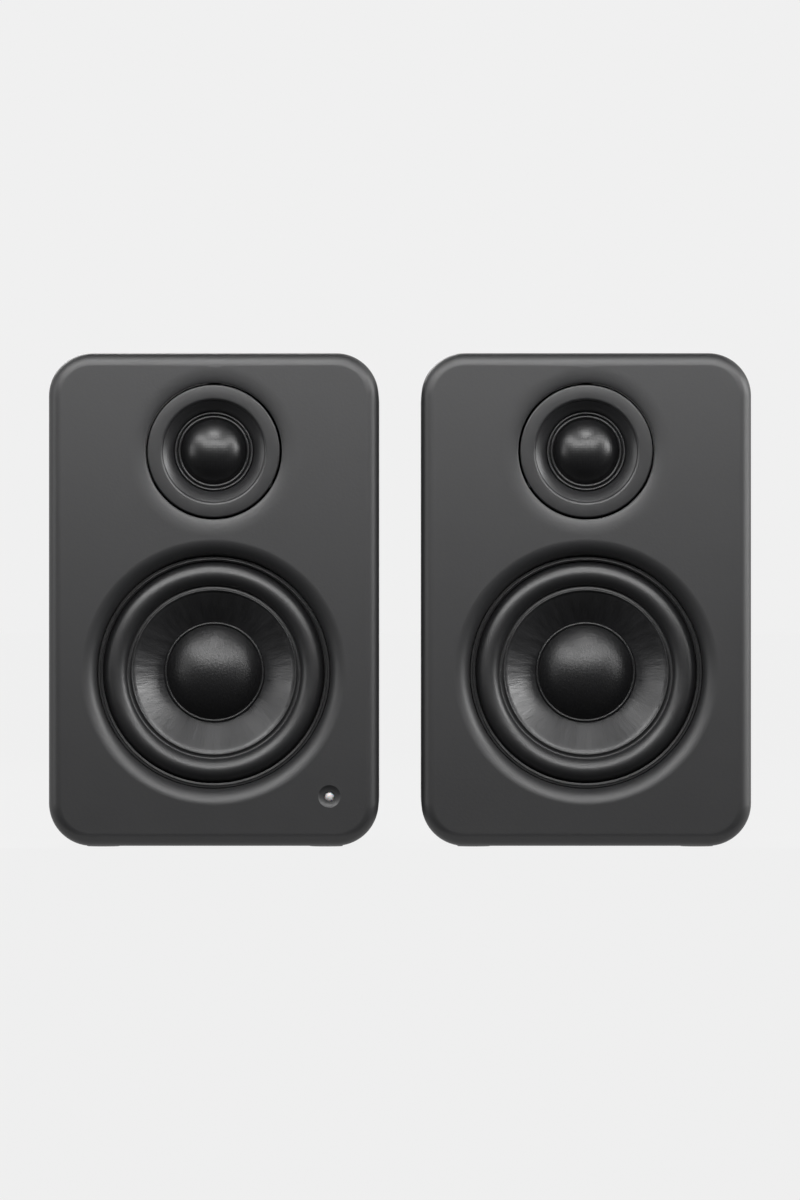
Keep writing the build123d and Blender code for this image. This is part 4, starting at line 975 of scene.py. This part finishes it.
class SPEAKERS_OT_rear(bpy.types.Operator):
    """Finish the rear panels, terminals, knob, sockets, screws and feet from their solids"""

    bl_idname = "speakers.rear"
    bl_label = "Rear fittings"
    bl_options = UNDOABLE

    def execute(self, context):
        colours = context.scene.speaker_colours
        panel = powder_coat(colours)
        # Moulded black plastic: soft, with the fine grain of its tool.
        black = bpy.data.materials["black_moulding"]
        # The same in red, from a smoother tool: deep, with a clearer shine.
        red = moulded("red_moulding", colours.red, 0.3)
        # Nickel plate on brass: warm pale grey and bright, with fine handling marks.
        nickel = metal("nickel_plate", "#c9c5bd", 0.25, 0.4)
        # Oxide-blackened steel: dark grey, with an oily soft shine.
        oxide = metal("black_oxide", "#3a3a3c", 0.4, 0.3)
        # Moulded rubber left matt: no shine to speak of.
        rubber = plain("matt_rubber", "#1a1a1a", 0.75, 0.5)
        jobs = [
            ("volume_knob", "knob", "black_plastic", black),
            ("aux_socket", ROOT, "black_plastic", black),
            ("power_socket", ROOT, "black_plastic", black),
            ("subwoofer_socket", ROOT, "socket_nickel", nickel),
            ("usb_socket", ROOT, "socket_nickel", nickel),
            ("volume_control", ROOT, "socket_nickel", nickel),
            ("panel_screws", ROOT, "black_steel_plate", oxide),
            ("rubber_feet", ROOT, "foot_rubber", rubber),
        ]
        for side in SIDES:
            jobs += [
                (f"{side}_rear_panel", ROOT, "black_steel_plate", panel),
                (f"{side}_terminal_block", ROOT, "black_plastic", black),
                (f"{side}_red_lever", f"{side}_red_tab", "red_plastic", red),
                (f"{side}_black_lever", f"{side}_black_tab", "black_plastic", black),
            ]
        for node, body, slot, finish in jobs:
            # A terminal block's broad rounds meet flat faces, which a larger angle would shade as one.
            angle = 14.0 if node.endswith("terminal_block") else 30.0
            dress(model_copy(node, angle), f"{node}_finished", body, finish, [node])
        return {"FINISHED"}


class SPEAKERS_OT_inside(bpy.types.Operator):
    """Give the pieces inside the boxes their finishes"""

    bl_idname = "speakers.inside"
    bl_label = "Inside"
    bl_options = UNDOABLE

    def execute(self, context):
        sizes = context.scene.speaker_sizes
        # Zinc plate on steel: pale blue-grey, with a broken satin shine.
        zinc = metal("zinc_plate", "#a9adb0", 0.35, 0.6)
        # Ferrite, pressed, fired and ground: charcoal and stony.
        ferrite = plain("ground_ferrite", "#2c2c2e", 0.55, 0.8)
        # Copper wire in clear enamel: warm and glossy, ribbed by its turns.
        copper = metal("enamelled_copper", "#b0622f", 0.3, 0.25)
        # Cotton cloth stiffened with resin: amber and dry, with an open weave.
        cloth = plain("resin_cloth", "#c9a552", 0.8, 0.6)
        # Steel under stoved black enamel: smooth, with a low shine.
        enamel = plain("stoved_black_steel", "#1b1b1c", 0.45, 1.2)
        # Glass-fibre board under green resist: smooth and rather glossy.
        board = plain("board_laminate", "#14532d", 0.35, 2.0)
        # Plastic sleeve shrunk onto a part: dark blue, tight and shiny.
        sleeve = plain("shrink_sleeve", "#1c2030", 0.3, 3.0)
        # Loose polyester fibre: off-white and fluffy, without shine.
        wadding = plain("polyester_wadding", "#e2e2dc", 0.95, 2.5, spread=0.2, height=1.5)
        # Extruded vinyl cable: dark red, smooth and faintly waxy.
        vinyl = plain("twin_lead_vinyl", "#571214", 0.45, 1.0)
        # Tinned bronze spring: yellowish silver with a soft shine.
        tin = metal("tinned_bronze", "#b9a878", 0.35, 0.4)
        # Turned aluminium: bright, with close tool marks.
        turned = metal("turned_aluminium", "#cdced0", 0.3, 0.2)
        # Extruded aluminium, anodised black: dark and silky.
        anodised = metal("black_anodised", "#26272a", 0.45, 0.8)
        pole_pieces = ("woofer_top_plates", "woofer_yokes", "tweeter_pole_plates", "tweeter_cups")
        finishes = (
            (enamel, ("woofer_frame",)),
            (copper, ("woofer_voice_coil", "tweeter_voice_coil")),
            (tin, ("terminal_contacts",)),
            (zinc, (*pole_pieces, "driver_screws")),
            (ferrite, ("woofer_magnets", "tweeter_magnets", "amplifier_chokes")),
            (board, ("circuit_boards",)),
            (sleeve, ("amplifier_capacitors", "crossover_parts")),
            (anodised, ("heat_sink",)),
            (turned, ("volume_shaft",)),
            (wadding, ("wadding",)),
            (vinyl, ("internal_leads",)),
        )
        for finish, endings in finishes:
            for node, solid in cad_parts.items():
                if node.endswith(endings):
                    solid.data.materials.clear()
                    solid.data.materials.append(finish)
        for side in SIDES:
            piece = model_copy(f"{side}_woofer_spider")
            dress(piece, f"{side}_spider_cloth", None, cloth, [f"{side}_woofer_spider"])
            follow_radius(piece, side, sizes.cone_neck, sizes.spider_edge, f"{side}_cone")
        return {"FINISHED"}


# ---- studio ----

# The camera, in metres: its focal length, its sensor's width, the height that the frame spans at the fronts
# and its own height. The frame is taller than it is wide, so the sensor's width lies along its height.
LENS = 0.300
SENSOR = 0.036
FRAME_HEIGHT = 0.3636
EYE = 0.0751

FILL = 0.06  # strength of the world's light on the speakers
FLOOR = "#8c8c8c"  # the floor's own paint, which takes the shadow
FLOOR_SHOWN = 0.97  # share of the floor's look that is the pale background; the rest is its paint
FLOOR_GLOW = 1.02  # strength of that share, which makes up for the darker paint

# Black cloths: name, place in metres, turn about x in radians, and spans in metres. The first two give the
# fronts something dark to mirror round the lamps, and the flag keeps the front lamps off the tops.
CLOTHS = (
    ("cloth behind", (0, FRONT - 3.6, 2.5), math.pi / 2, (9.0, 1.0, 5.2)),
    ("cloth before", (0, FRONT - 1.503, 0.002), 0.0, (5.0, 3.0, 1.0)),
    ("flag", (0, FRONT + 0.003, 0.1802), math.pi / 2, (0.6, 1.0, 0.06)),
)

# Lamps: name, place and aim in metres, width and height in metres, watts, and spread in degrees.
LAMPS = (
    ("front", (0, FRONT - 0.46, 0.33), (0, FRONT, 0.10), 0.7, 0.12, 3.7, 180),
    ("top", (0.02, FRONT - 0.20, 0.40), (0.02, FRONT, 0.16), 0.9, 0.08, 0.25, 40),
    ("upper left", (-0.38, FRONT - 0.34, 0.45), (0, FRONT, 0.09), 0.3, 0.16, 1.7, 180),
    ("upper right", (0.38, FRONT - 0.34, 0.45), (0, FRONT, 0.09), 0.3, 0.16, 1.2, 180),
    ("right", (0.9, FRONT - 0.26, 0.36), (0, FRONT, 0.07), 0.3, 0.4, 6.0, 180),
    ("left", (-0.9, FRONT - 0.26, 0.2), (0, FRONT, 0.07), 0.3, 0.4, 1.5, 180),
    ("rim", (1.0, 0.1, 0.25), (0, 0, 0.08), 0.3, 0.6, 4.0, 180),
    ("back", (-0.5, 1.2, 0.9), (0, 0, 0.08), 0.9, 0.7, 14.0, 180),
)


class SPEAKERS_OT_studio(bpy.types.Operator):
    """Set the floor, the backdrop, the lights and the camera"""

    bl_idname = "speakers.studio"
    bl_label = "Studio"
    bl_options = UNDOABLE

    def execute(self, context):
        colours = context.scene.speaker_colours
        scene = bpy.context.scene
        scene.view_settings.view_transform = "Standard"
        self.backdrop(scene, colours)
        self.floor(colours)
        self.cloths()
        for lamp in LAMPS:
            self.lamp(*lamp)
        self.camera(scene)
        return {"FINISHED"}

    def seen(self, tree):
        """1 for the rays that should see the plain background."""
        path = add(tree, "ShaderNodeLightPath").outputs
        mirrored = maths(tree, "MAXIMUM", path["Is Glossy Ray"], path["Is Transmission Ray"])
        return maths(tree, "MAXIMUM", path["Is Camera Ray"], mirrored)

    def backdrop(self, scene, colours):
        """A world that looks pale and lights the speakers only a little."""
        world = bpy.data.worlds.new("studio")
        scene.world = world
        world.use_nodes = True
        tree = world.node_tree
        tree.nodes.clear()
        shown = add(tree, "ShaderNodeBackground", None, {"Color": tuple(colours.backdrop), "Strength": 1.0})
        fill = add(tree, "ShaderNodeBackground", None, {"Color": (1, 1, 1, 1), "Strength": FILL})
        both = {0: self.seen(tree), 1: fill.outputs[0], 2: shown.outputs[0]}
        mix = add(tree, "ShaderNodeMixShader", None, both)
        add(tree, "ShaderNodeOutputWorld", None, {"Surface": mix.outputs[0]})

    def floor(self, colours):
        """A floor of the background's colour that still shows the speakers' shadow."""
        fresh()
        bpy.ops.mesh.primitive_plane_add(size=40.0, location=(0, 0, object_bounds()[0].z))
        floor = bpy.context.object
        floor.name = "floor"
        # Matt grey paint: even, with barely any mottling.
        material, tree, shader, place = begin("painted_floor", 0.8)
        tones(tree, shader, linear(FLOOR), grain(tree, place, 300.0), 0.01)
        pale = {"Color": tuple(colours.backdrop), "Strength": FLOOR_GLOW}
        glow = add(tree, "ShaderNodeEmission", None, pale)
        share = maths(tree, "MULTIPLY", self.seen(tree), FLOOR_SHOWN)
        both = {0: share, 1: shader.outputs[0], 2: glow.outputs[0]}
        mix = add(tree, "ShaderNodeMixShader", None, both)
        tree.links.new(mix.outputs[0], tree.nodes["Material Output"].inputs["Surface"])
        floor.data.materials.append(material)
        floor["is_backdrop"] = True

    def cloths(self):
        """Black cloths that only the lamps and mirrored rays meet."""
        cloth = plain("black_cloth", "#0c0c0c", 0.95, 3.0)
        for name, where, turn, spans in CLOTHS:
            fresh()
            bpy.ops.mesh.primitive_plane_add(size=1.0, location=where, rotation=(turn, 0, 0))
            piece = bpy.context.object
            piece.name = name
            bpy.ops.transform.resize(value=spans)
            piece.data.materials.append(cloth)
            piece.visible_camera = False
            piece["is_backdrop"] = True

    def lamp(self, name, where, aim, wide, tall, watts, spread):
        """A rectangular lamp, turned towards its aim."""
        fresh()
        bpy.ops.object.light_add(type="AREA", location=where)
        lamp = bpy.context.object
        lamp.name = name
        lamp.data.shape = "RECTANGLE"
        lamp.data.size, lamp.data.size_y = wide, tall
        lamp.data.energy = watts
        lamp.data.spread = math.radians(spread)
        lamp.rotation_euler = (Vector(aim) - Vector(where)).to_track_quat("-Z", "Y").to_euler()

    def camera(self, scene):
        """Square on to the fronts, with a long lens, so that the sides stay out of sight."""
        away = LENS * FRAME_HEIGHT / SENSOR
        fresh()
        bpy.ops.object.camera_add(location=(0, FRONT - away, EYE), rotation=(math.pi / 2, 0, 0))
        camera = bpy.context.object
        camera.name = "camera"
        camera.data.lens = LENS / MM
        camera.data.sensor_width = SENSOR / MM
        camera.data.clip_end = 100.0  # past the floor's far edge
        scene.camera = camera


class SPEAKERS_PT_panel(bpy.types.Panel):
    """The speakers' sizes, colours and steps"""

    bl_label = "Desktop speakers"
    bl_idname = "SPEAKERS_PT_panel"
    bl_space_type = "VIEW_3D"
    bl_region_type = "UI"
    bl_category = "Speakers"

    def draw(self, context):
        for group in settings(context):
            for key in group.__annotations__:
                self.layout.prop(group, key)
        for step in STEPS:
            self.layout.operator(step.bl_idname)


STEPS = (
    SPEAKERS_OT_studio,
    SPEAKERS_OT_cabinets,
    SPEAKERS_OT_baffles,
    SPEAKERS_OT_gaskets,
    SPEAKERS_OT_surrounds,
    SPEAKERS_OT_cones,
    SPEAKERS_OT_dust_caps,
    SPEAKERS_OT_tweeter_rings,
    SPEAKERS_OT_domes,
    SPEAKERS_OT_indicator,
    SPEAKERS_OT_ports,
    SPEAKERS_OT_rear,
    SPEAKERS_OT_inside,
)
CLASSES = (SpeakerSizes, SpeakerColours, *STEPS, SPEAKERS_PT_panel)


def register():
    """Makes the classes known to Blender and gives each scene its sizes and colours."""
    for item in CLASSES:
        bpy.utils.register_class(item)
    bpy.types.Scene.speaker_sizes = bpy.props.PointerProperty(type=SpeakerSizes)
    bpy.types.Scene.speaker_colours = bpy.props.PointerProperty(type=SpeakerColours)


def unregister():
    """Takes the classes and the scene's sizes and colours away again."""
    del bpy.types.Scene.speaker_colours
    del bpy.types.Scene.speaker_sizes
    for item in reversed(CLASSES):
        bpy.utils.unregister_class(item)


def main():
    """Runs every step in order."""
    register()
    for step in STEPS:
        group, name = step.bl_idname.split(".")
        getattr(getattr(bpy.ops, group), name)()


if __name__ == "__main__":
    main()
